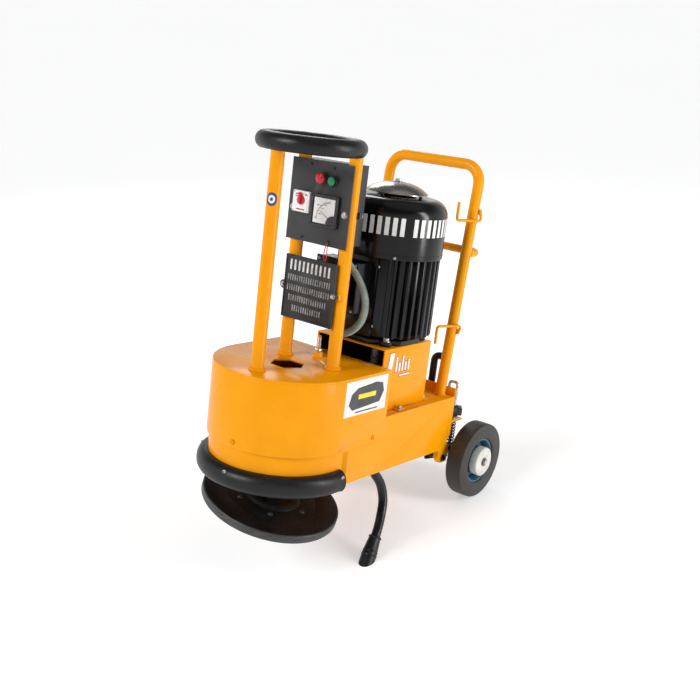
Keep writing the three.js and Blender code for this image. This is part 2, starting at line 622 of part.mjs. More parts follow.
// ---- handle
const leanSlope = Math.tan(THREE.MathUtils.degToRad(HANDLE_LEAN));
const handleY = (z) => HANDLE_FOOT_Y + (z - LEDGE_Z) * leanSlope;
const legFoot = LEDGE_Z + GAP + 1.5;
const handleCorner = (x, z) => [x, handleY(z), z];
const handlePath = new BentPath([
  handleCorner(HANDLE_X, legFoot), handleCorner(HANDLE_X, HANDLE_TOP),
  handleCorner(-HANDLE_X, HANDLE_TOP), handleCorner(-HANDLE_X, legFoot),
], HANDLE_BEND, 7);
add('handle_loop', rod(handlePath, HANDLE_TUBE_R), PAINT);

const barStart = handleY(PUSH_BAR_Z) + HANDLE_TUBE_R + 3 * GAP;
const barBack = handleY(PUSH_BAR_Z) + PUSH_BAR_REACH;
add('push_bar', rod(new BentPath([
  [HANDLE_X, barStart, PUSH_BAR_Z], [HANDLE_X, barBack, PUSH_BAR_Z],
  [-HANDLE_X, barBack, PUSH_BAR_Z], [-HANDLE_X, barStart, PUSH_BAR_Z],
], 30, 5), PUSH_BAR_R), PAINT);

// a hook's root lies along the handle's leg, on the same side as its tip
function cableHook(z, root, tip) {
  const turn = THREE.MathUtils.degToRad(HOOK_TURN);
  const heel = [HANDLE_X + HANDLE_TUBE_R + HOOK_R + 5 * GAP, handleY(z + root) + 2, z + root];
  const start = [HANDLE_X + HANDLE_TUBE_R + 10, handleY(z) + 10, z];
  const elbow = [start[0] - HOOK_RUN * Math.sin(turn), start[1] - HOOK_RUN * Math.cos(turn), z];
  return rod(new BentPath([heel, start, elbow, [elbow[0], elbow[1], z + tip]], 9, 4), HOOK_R, undefined, 8);
}
add('cable_hook_upper', cableHook(424, 36, 56), PAINT);
add('cable_hook_lower', cableHook(88, -28, -56), PAINT);

// ---- things on the rear plate
const grabY = CHASSIS_REAR + 20;
add('rear_grab', rod(new BentPath([
  [GRAB_X[0], grabY, -170], [GRAB_X[0], grabY, -32], [GRAB_X[1], grabY, -32], [GRAB_X[1], grabY, -170],
], 20, 5), 12), RUBBER);
add('rear_bail', rod(new BentPath([
  [214, CHASSIS_REAR + 6, -175], [214, CHASSIS_REAR + 6, -100], [184, CHASSIS_REAR + 6, -100],
  [184, CHASSIS_REAR + 6, -130],
], 10, 4), 4, undefined, 8), STEEL);

// ---- wheel frame: two arms, a pivot tube and the axle
const armOutline = [
  [PIVOT[0] - 20, PIVOT[1] - 16], [PIVOT[0] - 20, PIVOT[1] + 14], [PIVOT[0], PIVOT[1] + 20],
  [AXLE[0] + 18, AXLE[1] + 18], [AXLE[0] + 22, AXLE[1] - 16], [AXLE[0] - 10, AXLE[1] - 22],
];
const screwSlot = bar('z', [...SCREW_AT, -350], 10, 120, SMALL);
const lug = block([SCREW_AT[0] - 15, SCREW_AT[0] + 13], [SCREW_AT[1] - 17, SCREW_AT[1] + 17], [-342, -330]);
add('wheel_frame', cut(join(
  bar('x', [0, ...PIVOT], 11, 2 * 209, SMALL), bar('x', [0, ...AXLE], AXLE_R, 2 * 284, SMALL),
  sidePlate(armOutline, 158, 166), sidePlate(armOutline, -166, -158), lug,
  block([160, SCREW_AT[0] - 14], [SCREW_AT[1] - 17, SCREW_AT[1] + 17], [-342, -330]),
), screwSlot), BLACK_PAINT);

// ---- wheels
const wheelProfile = (corners, sides) => turned(closedLoop(corners), sides);
function wheel(side, name) {
  const outward = (piece) => {
    const turn = side > 0 ? rotation('y', 90) : rotation('y', -90);
    const upright = about(rotation('x', -PARKED_PITCH), about(turn, piece));
    return upright.translate([side * WHEEL_X, ...AXLE]);
  };
  const half = WHEEL_W / 2;
  const tyre = wheelProfile([
    [76, -half + 4], [112, -half], [121, -half + 2], [WHEEL_R, -half + 8], [WHEEL_R, half - 8],
    [121, half - 2], [112, half], [76, half - 4],
  ], FINE);
  const rim = wheelProfile([
    [AXLE_R + GAP, -half - 4], [24, -half - 4], [24, -10], [60, -10], [66, -half + 4],
    [76 - 3 * GAP, -half + 4], [76 - 3 * GAP, half - 4], [66, half - 4], [60, 6], [24, 6],
    [24, half - 6], [AXLE_R + GAP, half - 6],
  ], MEDIUM);
  const cap = cut(
    turned([[0, half - 6 + GAP], [30, half - 6 + GAP], [49, half - 2], [49, half + 10], [45, half + 13],
      [9, half + 13], [9, half + 20], [0, half + 20]], MEDIUM),
    bar('z', [0, 0, half - 3], AXLE_R + GAP, 8.2, SMALL),
  );
  add(`tyre_${name}`, outward(tyre), RUBBER);
  add(`wheel_rim_${name}`, outward(rim), BLUE);
  add(`hub_cap_${name}`, outward(cap), NYLON);
}
wheel(1, 'left');
wheel(-1, 'right');

// ---- height adjuster: star knob on a screw through the shelf and the wheel frame's lug
const [screwX, screwY] = SCREW_AT;
add('adjuster_screw', join(
  bar('z', [screwX, screwY, -277], 6, 165, SMALL), bar('z', [screwX, screwY, -356], 9, 8, SMALL),
), STEEL);
const lobes = Array.from({ length: 5 }, (_, i) => about(rotation('z', 72 * i),
  bar('z', [20, 0, -208], 10, 24, 10)).translate([screwX, screwY, 0]));
add('adjuster_knob', cut(join(
  bar('z', [screwX, screwY, -206], 19, 40, SMALL), ...lobes,
), bar('z', [screwX, screwY, -205], 6 + GAP, 50, SMALL)), RUBBER);
add('adjuster_spring', turned(closedLoop([
  [9, -329], [13, -329], [13, -237], [9, -237],
]), SMALL).translate([screwX, screwY, 0]), STEEL);

// ---- parking stand: two bowed legs on one cross tube, with rubber boots
const toWorld = rotation('x', -PARKED_PITCH);
const up = new THREE.Vector3(0, -Math.sin(THREE.MathUtils.degToRad(PARKED_PITCH)),
  Math.cos(THREE.MathUtils.degToRad(PARKED_PITCH)));
const floorLevel = up.dot(new THREE.Vector3(0, ...AXLE)) - WHEEL_R;
const belowFloor = about(rotation('x', PARKED_PITCH),
  block([-400, 400], [-400, 900], [floorLevel - 200, floorLevel]));
const legRoute = (side) => [
  [176, 212, -296], [181, 242, -337], [190, 272, -378], [204, 276, -426], [216, 258, -468],
  [224, 238, -508], [236, 195, -565],
].map(([x, y, z]) => new THREE.Vector3(side * x, y, z));
const legPath = (side) => new THREE.CatmullRomCurve3(legRoute(side), false, 'centripetal');
const crossTube = bar('x', [0, ...STAND_PIVOT], STAND_R, 380, SMALL);
const standPin = bar('x', [0, ...STAND_PIVOT], 8, 2 * (DRUM_R - GAP), SMALL);
const legs = [1, -1].map((side) => rod(legPath(side), STAND_R, 12, 10));
// places a piece drawn along Z at the leg's foot, pointing down the leg
const onFoot = (side, piece, drop) => {
  const [heel, toe] = legRoute(side).slice(-2);
  const axis = toe.clone().sub(heel).normalize();
  const aim = new THREE.Matrix4().makeRotationFromQuaternion(
    new THREE.Quaternion().setFromUnitVectors(new THREE.Vector3(0, 0, -1), axis));
  aim.setPosition(toe.clone().addScaledVector(axis, drop));
  return about(aim, piece);
};
const bootSolid = turned([[0, -70], [26, -70], [26, -6], [20, 42], [18.5, 50], [0, 50]], MEDIUM);
const socketR = STAND_R + 5 * GAP;
const socket = turned([[0, 0], [socketR, 0], [socketR, 80], [0, 80]], SMALL);
add('stand_frame', join(crossTube, standPin, ...legs), BLACK_PAINT);
[[1, 'left'], [-1, 'right']].forEach(([side, name]) => {
  add(`stand_boot_${name}`, cut(onFoot(side, bootSolid, 0), onFoot(side, socket, GAP), belowFloor), RUBBER);
});

// ---------------------------------------------------------------- parked pose
machine.applyMatrix4(toWorld);
const group = new THREE.Group();
group.name = 'floor_grinder';
group.add(machine);
group.updateMatrixWorld(true);
const extent = new THREE.Box3().setFromObject(group, true);
const middle = extent.getCenter(new THREE.Vector3());
machine.position.add(new THREE.Vector3(-middle.x, -middle.y, -extent.min.z));
group.updateMatrixWorld(true);

export default group;
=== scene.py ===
from functools import partial
import json
from math import copysign, cos, pi, radians, sin, sqrt, tan

import bmesh
import bpy
from mathutils import Matrix, Vector


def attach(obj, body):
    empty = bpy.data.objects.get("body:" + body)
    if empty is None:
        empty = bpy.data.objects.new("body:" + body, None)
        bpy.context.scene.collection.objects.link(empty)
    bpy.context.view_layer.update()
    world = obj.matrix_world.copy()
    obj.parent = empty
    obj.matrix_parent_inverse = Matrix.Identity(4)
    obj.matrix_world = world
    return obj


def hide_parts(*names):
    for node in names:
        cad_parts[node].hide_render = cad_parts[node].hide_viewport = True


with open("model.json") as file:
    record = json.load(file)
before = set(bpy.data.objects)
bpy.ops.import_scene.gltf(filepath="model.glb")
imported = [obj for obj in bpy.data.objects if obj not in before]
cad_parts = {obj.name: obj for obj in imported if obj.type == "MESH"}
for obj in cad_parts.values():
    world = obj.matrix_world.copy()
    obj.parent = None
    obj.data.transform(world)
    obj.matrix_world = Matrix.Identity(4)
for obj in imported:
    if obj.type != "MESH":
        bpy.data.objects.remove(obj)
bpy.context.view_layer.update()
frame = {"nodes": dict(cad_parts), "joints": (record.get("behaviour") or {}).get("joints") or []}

scene = bpy.context.scene
SIDES = (("right", -1), ("left", 1))
joints = {joint["name"]: joint for joint in frame["joints"]}

# ---- the level frame
MM = 0.001
COUPLING_DROP = 378              # the disc coupling's centre below the deck's top
across = Vector((1, 0, 0))
upright = Vector(joints["spindle_spin"]["axis"]).normalized()
along = upright.cross(across)
deck_centre = Vector(joints["cross_tilt"]["pos_m"]) + upright * COUPLING_DROP * MM
LEVEL = (Matrix.Translation(deck_centre)
         @ Matrix((across, along, upright)).transposed().to_4x4()
         @ Matrix.Scale(MM, 4))
TO_LEVEL = LEVEL.inverted()


def level_box(node):
    """Lowest and highest corners of a CAD node in the level frame, in millimetres."""
    points = [TO_LEVEL @ v.co for v in frame["nodes"][node].data.vertices]
    return (Vector([min(p[i] for p in points) for i in range(3)]),
            Vector([max(p[i] for p in points) for i in range(3)]))


# ---- solids
def circle(radius, sides, turn=0.0, centre=(0, 0)):
    """Points round a circle."""
    return [(centre[0] + radius * cos(turn + 2 * pi * i / sides),
             centre[1] + radius * sin(turn + 2 * pi * i / sides)) for i in range(sides)]


def arc(centre, radius, start, end, steps=8):
    """Points along an arc, with its angles in degrees."""
    points = []
    for i in range(steps + 1):
        a = radians(start + (end - start) * i / steps)
        points.append((centre[0] + radius * cos(a), centre[1] + radius * sin(a)))
    return points


AXES = {
    "Z": Matrix.Identity(4),
    "X": Matrix.Rotation(pi / 2, 4, "Y"),
    "Y": Matrix.Rotation(-pi / 2, 4, "X"),
}


def moved(shape, at=(0, 0, 0), axis="Z", side=1):
    """Moves a shape drawn along Z into place, along an axis or, with side -1, against it."""
    turn = AXES[axis] if side > 0 else AXES[axis] @ Matrix.Rotation(pi, 4, "X")
    shape.transform(Matrix.Translation(Vector(at)) @ turn)
    return shape


def lathe(profile, sides=96, ring=False):
    """A turned solid: (radius, height) points spun about Z. A ring's profile closes on itself."""
    shape = bmesh.new()
    rows = []
    for radius, height in profile:
        if radius < 1e-6:
            rows.append([shape.verts.new((0, 0, height))] * sides)
        else:
            rows.append([shape.verts.new((x, y, height)) for x, y in circle(radius, sides)])
    pairs = list(zip(rows, rows[1:]))
    if ring:
        pairs.append((rows[-1], rows[0]))
    for low, high in pairs:
        for i in range(sides):
            j = (i + 1) % sides
            corners = list(dict.fromkeys([low[i], low[j], high[j], high[i]]))
            if len(corners) > 2:
                shape.faces.new(corners)
    return shape


def raised(outline, low, high):
    """A prism: an outline of (x, y) points raised along Z."""
    shape = bmesh.new()
    bottom = [shape.verts.new((x, y, low)) for x, y in outline]
    top = [shape.verts.new((x, y, high)) for x, y in outline]
    shape.faces.new(list(reversed(bottom)))
    shape.faces.new(top)
    for i in range(len(outline)):
        j = (i + 1) % len(outline)
        shape.faces.new([bottom[i], bottom[j], top[j], top[i]])
    return shape


def block(x, y, z, edge=0.6, segments=2):
    """A box between two x, two y and two z values, with its edges rounded."""
    shape = raised([(x[0], y[0]), (x[1], y[0]), (x[1], y[1]), (x[0], y[1])], z[0], z[1])
    return rounded(shape, edge, segments)


def rounded(shape, width, segments=2, limit=30, skip=None):
    """Rounds every edge sharper than the limit, in degrees, apart from those that skip() picks."""
    shape.normal_update()
    sharp = [e for e in shape.edges
             if len(e.link_faces) == 2 and e.calc_face_angle(0) > radians(limit)
             and not (skip and skip((e.verts[0].co + e.verts[1].co) / 2))]
    if width > 0 and sharp:
        bmesh.ops.bevel(shape, geom=sharp, offset=width, segments=segments, profile=0.5,
                        affect="EDGES", clamp_overlap=True)
    return shape


def copied(node, width=0.8, limit=25, skip=None, cut=None):
    """A CAD node's own shape in the level frame, with its flat faces whole and its edges rounded."""
    shape = bmesh.new()
    shape.from_mesh(frame["nodes"][node].data)
    shape.transform(TO_LEVEL)
    bmesh.ops.remove_doubles(shape, verts=shape.verts[:], dist=0.01)
    bmesh.ops.dissolve_limit(shape, angle_limit=radians(1), verts=shape.verts[:],
                             edges=shape.edges[:])
    if cut is not None:
        sliced(shape, (0, 0, cut), (0, 0, 1))
    return rounded(shape, width, 2, limit, skip)


def sliced(shape, point, normal, below=False):
    """Cuts a shape along a plane, and drops what is below the plane if asked to."""
    bmesh.ops.bisect_plane(shape, geom=shape.verts[:] + shape.edges[:] + shape.faces[:],
                           plane_co=point, plane_no=normal, clear_inner=below)


def joined(*shapes):
    """Several shapes as one mesh."""
    whole = shapes[0]
    for other in shapes[1:]:
        scrap = bpy.data.meshes.new("scrap")
        other.to_mesh(scrap)
        other.free()
        whole.from_mesh(scrap)
        bpy.data.meshes.remove(scrap)
    return whole


def bent(corners, bend, samples=10):
    """A path of straight runs with rounded corners."""
    corners = [Vector(c) for c in corners]
    path = [corners[0]]
    for before, here, after in zip(corners, corners[1:], corners[2:]):
        back, ahead = (before - here).normalized(), (after - here).normalized()
        half = back.angle(ahead) / 2
        centre = here + (back + ahead).normalized() * bend / sin(half)
        start = here + back * bend / tan(half) - centre
        end = here + ahead * bend / tan(half) - centre
        spin, sweep_angle = start.cross(end).normalized(), start.angle(end)
        for s in range(samples + 1):
            path.append(centre + Matrix.Rotation(sweep_angle * s / samples, 3, spin) @ start)
    path.append(corners[-1])
    return path


def smooth_path(corners, steps=12):
    """A centripetal Catmull-Rom curve through its corners."""
    corners = [Vector(c) for c in corners]
    ends = [2 * corners[0] - corners[1], *corners, 2 * corners[-1] - corners[-2]]
    path = []
    for a, b, c, d in zip(ends, ends[1:], ends[2:], ends[3:]):
        gaps = [max((q - p).length, 1e-6) ** 0.5 for p, q in ((a, b), (b, c), (c, d))]
        leave = ((b - a) / gaps[0] - (c - a) / (gaps[0] + gaps[1]) + (c - b) / gaps[1]) * gaps[1]
        arrive = ((c - b) / gaps[1] - (d - b) / (gaps[1] + gaps[2]) + (d - c) / gaps[2]) * gaps[1]
        for s in range(steps):
            t = s / steps
            path.append((2 * t**3 - 3 * t**2 + 1) * b + (t**3 - 2 * t**2 + t) * leave
                        + (3 * t**2 - 2 * t**3) * c + (t**3 - t**2) * arrive)
    path.append(corners[-1])
    return path


def sweep(path, radius, sides=24):
    """A round rod along a path. The radius may be a function of the point's number."""
    size = radius if callable(radius) else (lambda i: radius)
    shape = bmesh.new()
    rings = []
    side = None
    for i, point in enumerate(path):
        ahead = (path[min(i + 1, len(path) - 1)] - path[max(i - 1, 0)]).normalized()
        if side is None:
            side = ahead.orthogonal().normalized()
        side = (side - ahead * side.dot(ahead)).normalized()
        other = ahead.cross(side)
        rings.append([shape.verts.new(point + (side * x + other * y) * size(i))
                      for x, y in circle(1.0, sides)])
    for low, high in zip(rings, rings[1:]):
        for i in range(sides):
            j = (i + 1) % sides
            shape.faces.new([low[i], low[j], high[j], high[i]])
    shape.faces.new(list(reversed(rings[0])))
    shape.faces.new(rings[-1])
    return shape


def radial(shape, centre, degrees, radius, height):
    """Stands a fitting, drawn along Z, out from an upright axis."""
    turn = Matrix.Rotation(radians(degrees), 4, "Z")
    spot = Matrix.Translation((centre[0], centre[1], height))
    shape.transform(spot @ turn @ Matrix.Translation((radius, 0, 0)) @ AXES["X"])
    return shape


def wrapped(radius, thick, middle, half, low, high, columns=8, rows=1, oval=False):
    """A thin patch on a cylinder about Z: half its width in mm, and its lowest and highest points."""
    shape = bmesh.new()
    sides = []
    for reach in (radius, radius + thick):
        grid = []
        for j in range(rows + 1):
            v = -1 + 2 * j / rows
            width = half * sqrt(max(1 - v * v, 0.0004)) if oval else half
            spans = [radians(middle) + width * (2 * i / columns - 1) / radius for i in range(columns + 1)]
            height = (low + high) / 2 + v * (high - low) / 2
            grid.append([shape.verts.new((reach * cos(a), reach * sin(a), height)) for a in spans])
        sides.append(grid)
    inner, outer = sides
    for grid in sides:
        for below, above in zip(grid, grid[1:]):
            for i in range(columns):
                shape.faces.new([below[i], below[i + 1], above[i + 1], above[i]])
    edges = [[(j, 0) for j in range(rows + 1)], [(j, columns) for j in range(rows + 1)],
             [(0, i) for i in range(columns + 1)], [(rows, i) for i in range(columns + 1)]]
    for edge in edges:
        for (a, b), (c, d) in zip(edge, edge[1:]):
            shape.faces.new([inner[a][b], inner[c][d], outer[c][d], outer[a][b]])
    return shape


def helix(centre, radius, low, high, pitch, steps=12):
    """Points of an upright coil."""
    count = int((high - low) / pitch * steps)
    turn = circle(radius, steps, 0, centre)
    return [Vector((*turn[i % steps], low + (high - low) * i / count)) for i in range(count + 1)]


def even(path, step):
    """The same path with its points evenly spaced."""
    points, spare = [path[0]], 0.0
    for a, b in zip(path, path[1:]):
        span = (b - a).length
        reach = step - spare
        while reach <= span:
            points.append(a.lerp(b, reach / span))
            reach += step
        spare = span - (reach - step)
    return points


def piece(name, shape, look, node=None, body="chassis", place=LEVEL, smooth=32):
    """Makes an object of a shape. It rides on a body and may stand for a CAD node."""
    finish, slot = look
    bmesh.ops.recalc_face_normals(shape, faces=shape.faces[:])
    shape.transform(place)
    mesh = bpy.data.meshes.new(name)
    shape.to_mesh(mesh)
    shape.free()
    mesh.materials.append(finish)
    mesh.shade_smooth()
    mesh.set_sharp_from_angle(angle=radians(smooth))
    obj = bpy.data.objects.new(name, mesh)
    scene.collection.objects.link(obj)
    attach(obj, body)
    if node:
        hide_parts(node)


def series(name, shapes, look, **how):
    """Numbered pieces of one kind."""
    for number, shape in enumerate(shapes, 1):
        piece(f"{name}_{number}", shape, look, **how)


# ---- small fittings
def hex_bolt(at, axis, across_flats, head, side=1, washer=1.5):
    """A hexagon head with a chamfer on a washer."""
    corner = across_flats / sqrt(3)
    hexagon = rounded(raised(circle(corner, 6), washer, washer + head), 0.5)
    ring = lathe([(0, 0), (corner * 1.3, 0), (corner * 1.35, washer * 0.5),
                  (corner * 1.3, washer), (0, washer)], 32)
    return moved(joined(hexagon, ring), at, axis, side)


def pan_screw(at, axis, radius, side=1):
    """A domed screw head with a socket."""
    dome = [(0, radius * 0.28), (radius * 0.35, radius * 0.28), (radius * 0.42, radius * 0.62),
            (radius * 0.75, radius * 0.5), (radius, radius * 0.12), (radius, 0), (0, 0)]
    return moved(lathe(dome, 24), at, axis, side)


def bead(path, size=2.6, wave=0.35):
    """A weld bead: a thin rod with ripples."""
    return sweep(path, lambda i: size * (1 + wave * sin(i * 2.1) * 0.5), 10)


def ring_bead(centre, radius, size):
    """A weld bead round a tube's foot."""
    cx, cy, cz = centre
    path = [Vector((x, y, cz)) for x, y in circle(radius, 48, 0, (cx, cy))]
    return bead(path + [path[0]], size)


# ---- materials
def wired(tree, kind, output, inputs, **settings):
    """Adds a shader node, sets or links its inputs, and gives back one of its outputs."""
    node = tree.nodes.new("ShaderNode" + kind)
    for setting, value in settings.items():
        setattr(node, setting, value)
    for socket, value in inputs.items():
        if isinstance(value, bpy.types.NodeSocket):
            tree.links.new(value, node.inputs[socket])
        else:
            node.inputs[socket].default_value = value
    return node.outputs[output]


MIX_A, MIX_B, MIX_COLOUR = 6, 7, 2      # the colour sockets of a Mix node


def surface(name, dark, light, rough, metal=0.0, blotch=9.0, grain=900.0, bump=0.15, depth=0.0002,
            stretch=(1, 1, 1), coat=0.0, chips=None, chip_size=0.0012, chip_limit=0.62, dust=0.0,
            specks=0.0, gleam=0.5):
    """A worn surface: two mottled tones, varied gloss, fine grain, chipped edges and settled dust."""
    finish = bpy.data.materials.new(name)
    finish.use_nodes = True
    add = partial(wired, finish.node_tree)
    place = add("Mapping", "Vector", {"Vector": add("TexCoord", "Object", {}), "Scale": stretch})

    def noise(scale, detail):
        return add("TexNoise", "Fac", {"Vector": place, "Scale": scale, "Detail": detail})

    def ranged(value, low, high, new_low=0.0, new_high=1.0):
        return add("MapRange", "Result", {"Value": value, "From Min": low, "From Max": high,
                                          "To Min": new_low, "To Max": new_high})

    def mixed(factor, first, second):
        first, second = ((*c, 1) if isinstance(c, tuple) else c for c in (first, second))
        return add("Mix", MIX_COLOUR, {"Factor": factor, MIX_A: first, MIX_B: second}, data_type="RGBA")

    def maths(kind, first, second):
        return add("Math", "Value", {0: first, 1: second}, operation=kind)

    def blended(first, share, second):
        return maths("ADD", maths("MULTIPLY", first, share), maths("MULTIPLY", second, 1 - share))

    large, medium, fine = noise(blotch, 5.0), noise(blotch * 7, 6.0), noise(grain, 3.0)
    colour = mixed(ranged(blended(large, 0.6, medium), 0.35, 0.65), dark, light)
    gloss = ranged(blended(medium, 0.7, fine), 0.35, 0.65, *rough)
    if specks > 0:
        spots = ranged(noise(grain * 0.6, 2.0), 0.66, 0.72, 0.0, specks)
        colour = mixed(spots, colour, tuple(min(1.0, c * 2.2 + 0.05) for c in light))
    if dust > 0:
        facing = add("SeparateXYZ", "Z", {"Vector": add("NewGeometry", "Normal", {})})
        lying = ranged(facing, 0.2, 1.0, 0.0, dust)
        settled = maths("MULTIPLY", lying, ranged(medium, 0.4, 0.7))
        colour = mixed(settled, colour, (0.42, 0.38, 0.32))
        gloss = maths("ADD", gloss, maths("MULTIPLY", settled, 0.3))
    if chips:
        bevelled = add("Bevel", "Normal", {"Radius": chip_size}, samples=4)
        match = add("VectorMath", "Value", {0: bevelled, 1: add("NewGeometry", "Normal", {})},
                    operation="DOT_PRODUCT")
        worn = maths("MULTIPLY", ranged(match, 0.97, 0.8), ranged(medium, chip_limit, chip_limit + 0.06))
        colour = mixed(worn, colour, chips)
        gloss = maths("ADD", gloss, maths("MULTIPLY", worn, 0.25))
    height = blended(fine, 0.75, medium)
    relief = add("Bump", "Normal", {"Strength": bump, "Distance": depth, "Height": height})
    shader = finish.node_tree.nodes["Principled BSDF"]
    for socket, number in (("Metallic", metal), ("Coat Weight", coat), ("Coat Roughness", 0.12),
                           ("Specular IOR Level", gleam)):
        shader.inputs[socket].default_value = number
    for socket, source in (("Base Color", colour), ("Roughness", gloss), ("Normal", relief)):
        finish.node_tree.links.new(source, shader.inputs[socket])
    return finish


PRIMER = (0.16, 0.075, 0.03)
PAINT = (surface("orange_enamel", (0.79, 0.29, 0.0008), (0.85, 0.325, 0.001), (0.20, 0.30),
                 blotch=2.5, grain=380, bump=0.10, chips=PRIMER, chip_limit=0.64, gleam=0.15), "orange_paint")
BLACK = (surface("black_enamel", (0.004, 0.004, 0.0045), (0.010, 0.010, 0.011), (0.22, 0.36), coat=0.05,
                 chips=(0.12, 0.11, 0.10), chip_limit=0.66, gleam=0.3), "black_paint")
MOTOR = (surface("motor_enamel", (0.0015, 0.0015, 0.002), (0.004, 0.004, 0.0045), (0.15, 0.25), coat=0.04,
                 blotch=6, grain=420, bump=0.14, depth=0.0003, gleam=0.28), "motor_alloy")
PANEL = (surface("panel_powder_coat", (0.016, 0.017, 0.019), (0.026, 0.027, 0.03), (0.42, 0.55),
                 grain=1300, bump=0.3, chips=(0.2, 0.2, 0.2), chip_limit=0.66), "panel_dark")
CAST = (surface("rough_casting", (0.014, 0.014, 0.015), (0.05, 0.05, 0.052), (0.45, 0.7), metal=0.35,
                blotch=20, grain=600, bump=0.6, depth=0.0005, specks=0.15), "cast_black")
RUBBER = (surface("moulded_rubber", (0.003, 0.003, 0.0035), (0.008, 0.008, 0.0085), (0.32, 0.46),
                  blotch=14, grain=1100, bump=0.25, dust=0.01, gleam=0.32), "black_rubber")
TYRE = (surface("solid_tyre_rubber", (0.013, 0.012, 0.011), (0.026, 0.024, 0.022), (0.42, 0.6),
                blotch=18, grain=800, bump=0.35, depth=0.0004, dust=0.05), "tyre_rubber")
STEEL = (surface("bright_steel", (0.36, 0.36, 0.37), (0.62, 0.62, 0.63), (0.2, 0.42), metal=0.95,
                 blotch=30, grain=1500), "bright_steel")
SPRING = (surface("spring_steel", (0.10, 0.095, 0.09), (0.26, 0.25, 0.24), (0.3, 0.5), metal=0.9,
                  blotch=40, grain=1500, bump=0.2), "bright_steel")
STAINLESS = (surface("spun_stainless", (0.30, 0.27, 0.25), (0.50, 0.46, 0.43), (0.16, 0.28), metal=1.0,
                     blotch=7, grain=1600, bump=0.10, stretch=(1, 1, 6)), "stainless")
DISC = (surface("scaled_cast_disc", (0.002, 0.002, 0.002), (0.009, 0.009, 0.0088), (0.35, 0.65),
                blotch=16, grain=260, bump=0.6, depth=0.0008, specks=0.12, gleam=0.2), "disc_iron")
DISC_RIM = (surface("turned_disc_rim", (0.018, 0.019, 0.019), (0.07, 0.071, 0.069), (0.36, 0.58), metal=0.3,
                    blotch=25, grain=500, bump=0.4, stretch=(1, 1, 8), specks=0.15), "disc_iron")
BLUE = (surface("blue_enamel", (0.010, 0.055, 0.10), (0.022, 0.105, 0.18), (0.28, 0.45), coat=0.2,
                bump=0.2, chips=(0.2, 0.2, 0.2), dust=0.05), "rim_blue")
NYLON = (surface("moulded_nylon", (0.52, 0.52, 0.47), (0.72, 0.71, 0.65), (0.38, 0.56), blotch=22,
                 grain=700, bump=0.3, dust=0.1), "white_plastic")
CONDUIT = (surface("ribbed_conduit", (0.19, 0.23, 0.20), (0.36, 0.41, 0.37), (0.4, 0.6), blotch=25,
                   bump=0.2, dust=0.05), "conduit_plastic")
DARK = (surface("dark_moulding", (0.013, 0.014, 0.016), (0.026, 0.027, 0.03), (0.28, 0.42), blotch=30,
                grain=1500, bump=0.12), "dark_plastic")
RED = (surface("red_moulding", (0.50, 0.006, 0.014), (0.68, 0.014, 0.03), (0.2, 0.34), blotch=40,
               grain=1500, bump=0.08, coat=0.2), "red_plastic")
GREEN = (surface("green_moulding", (0.004, 0.17, 0.06), (0.010, 0.30, 0.11), (0.2, 0.34), blotch=40,
                 grain=1500, bump=0.08, coat=0.2), "green_plastic")
WHITE = (surface("white_moulding", (0.66, 0.65, 0.63), (0.84, 0.83, 0.81), (0.26, 0.4), blotch=30,
                 grain=1500, bump=0.08), "white_plastic")
WELD = (surface("burnt_weld", (0.16, 0.022, 0.004), (0.70, 0.25, 0.004), (0.35, 0.6), blotch=70,
                bump=0.6, depth=0.0006), "orange_paint")
LABEL = (surface("white_vinyl", (0.66, 0.66, 0.65), (0.78, 0.78, 0.77), (0.28, 0.4), blotch=15,
                 bump=0.06), "white_plastic")
LABEL_DARK = (surface("dark_print", (0.02, 0.02, 0.022), (0.05, 0.05, 0.055), (0.3, 0.45), blotch=30,
                      bump=0.05), "dark_plastic")
LABEL_BLUE = (surface("blue_print", (0.012, 0.03, 0.13), (0.025, 0.06, 0.21), (0.3, 0.45), blotch=30,
                      bump=0.05), "rim_blue")
LABEL_YELLOW = (surface("yellow_print", (0.75, 0.56, 0.01), (0.9, 0.7, 0.03), (0.3, 0.45), blotch=30,
                        bump=0.05), "orange_paint")
MARK_RED = (surface("maroon_print", (0.16, 0.008, 0.008), (0.27, 0.015, 0.012), (0.3, 0.45), blotch=30,
                    bump=0.05), "red_plastic")
GRIT = (surface("bonded_grit", (0.10, 0.098, 0.092), (0.33, 0.32, 0.30), (0.8, 0.95), blotch=60,
                grain=450, bump=1.0, depth=0.0008, specks=0.5), "grit")
WHITE_RELIEF = (surface("painted_relief", (0.42, 0.42, 0.41), (0.78, 0.78, 0.76), (0.4, 0.6), blotch=60,
                        grain=700, bump=0.3), "cast_black")
GREY_RELIEF = (surface("worn_relief", (0.09, 0.09, 0.09), (0.46, 0.46, 0.45), (0.4, 0.6), blotch=70,
                       grain=700, bump=0.3), "cast_black")


# ---- hull
HULL_SIDE = 215                  # half width of the drum and chassis
SEAM = -216                      # where the drum wall gives way to the skirt
LEDGE = -145                     # top of the rear chassis
STUD_AT = (3, 131)               # the threaded stud on the deck


def half_round(radius, rear, steps=48):
    """The drum's plan: straight sides and a round front."""
    return [(radius, rear), *arc((0, 0), radius, 0, -180, steps), (-radius, rear)]


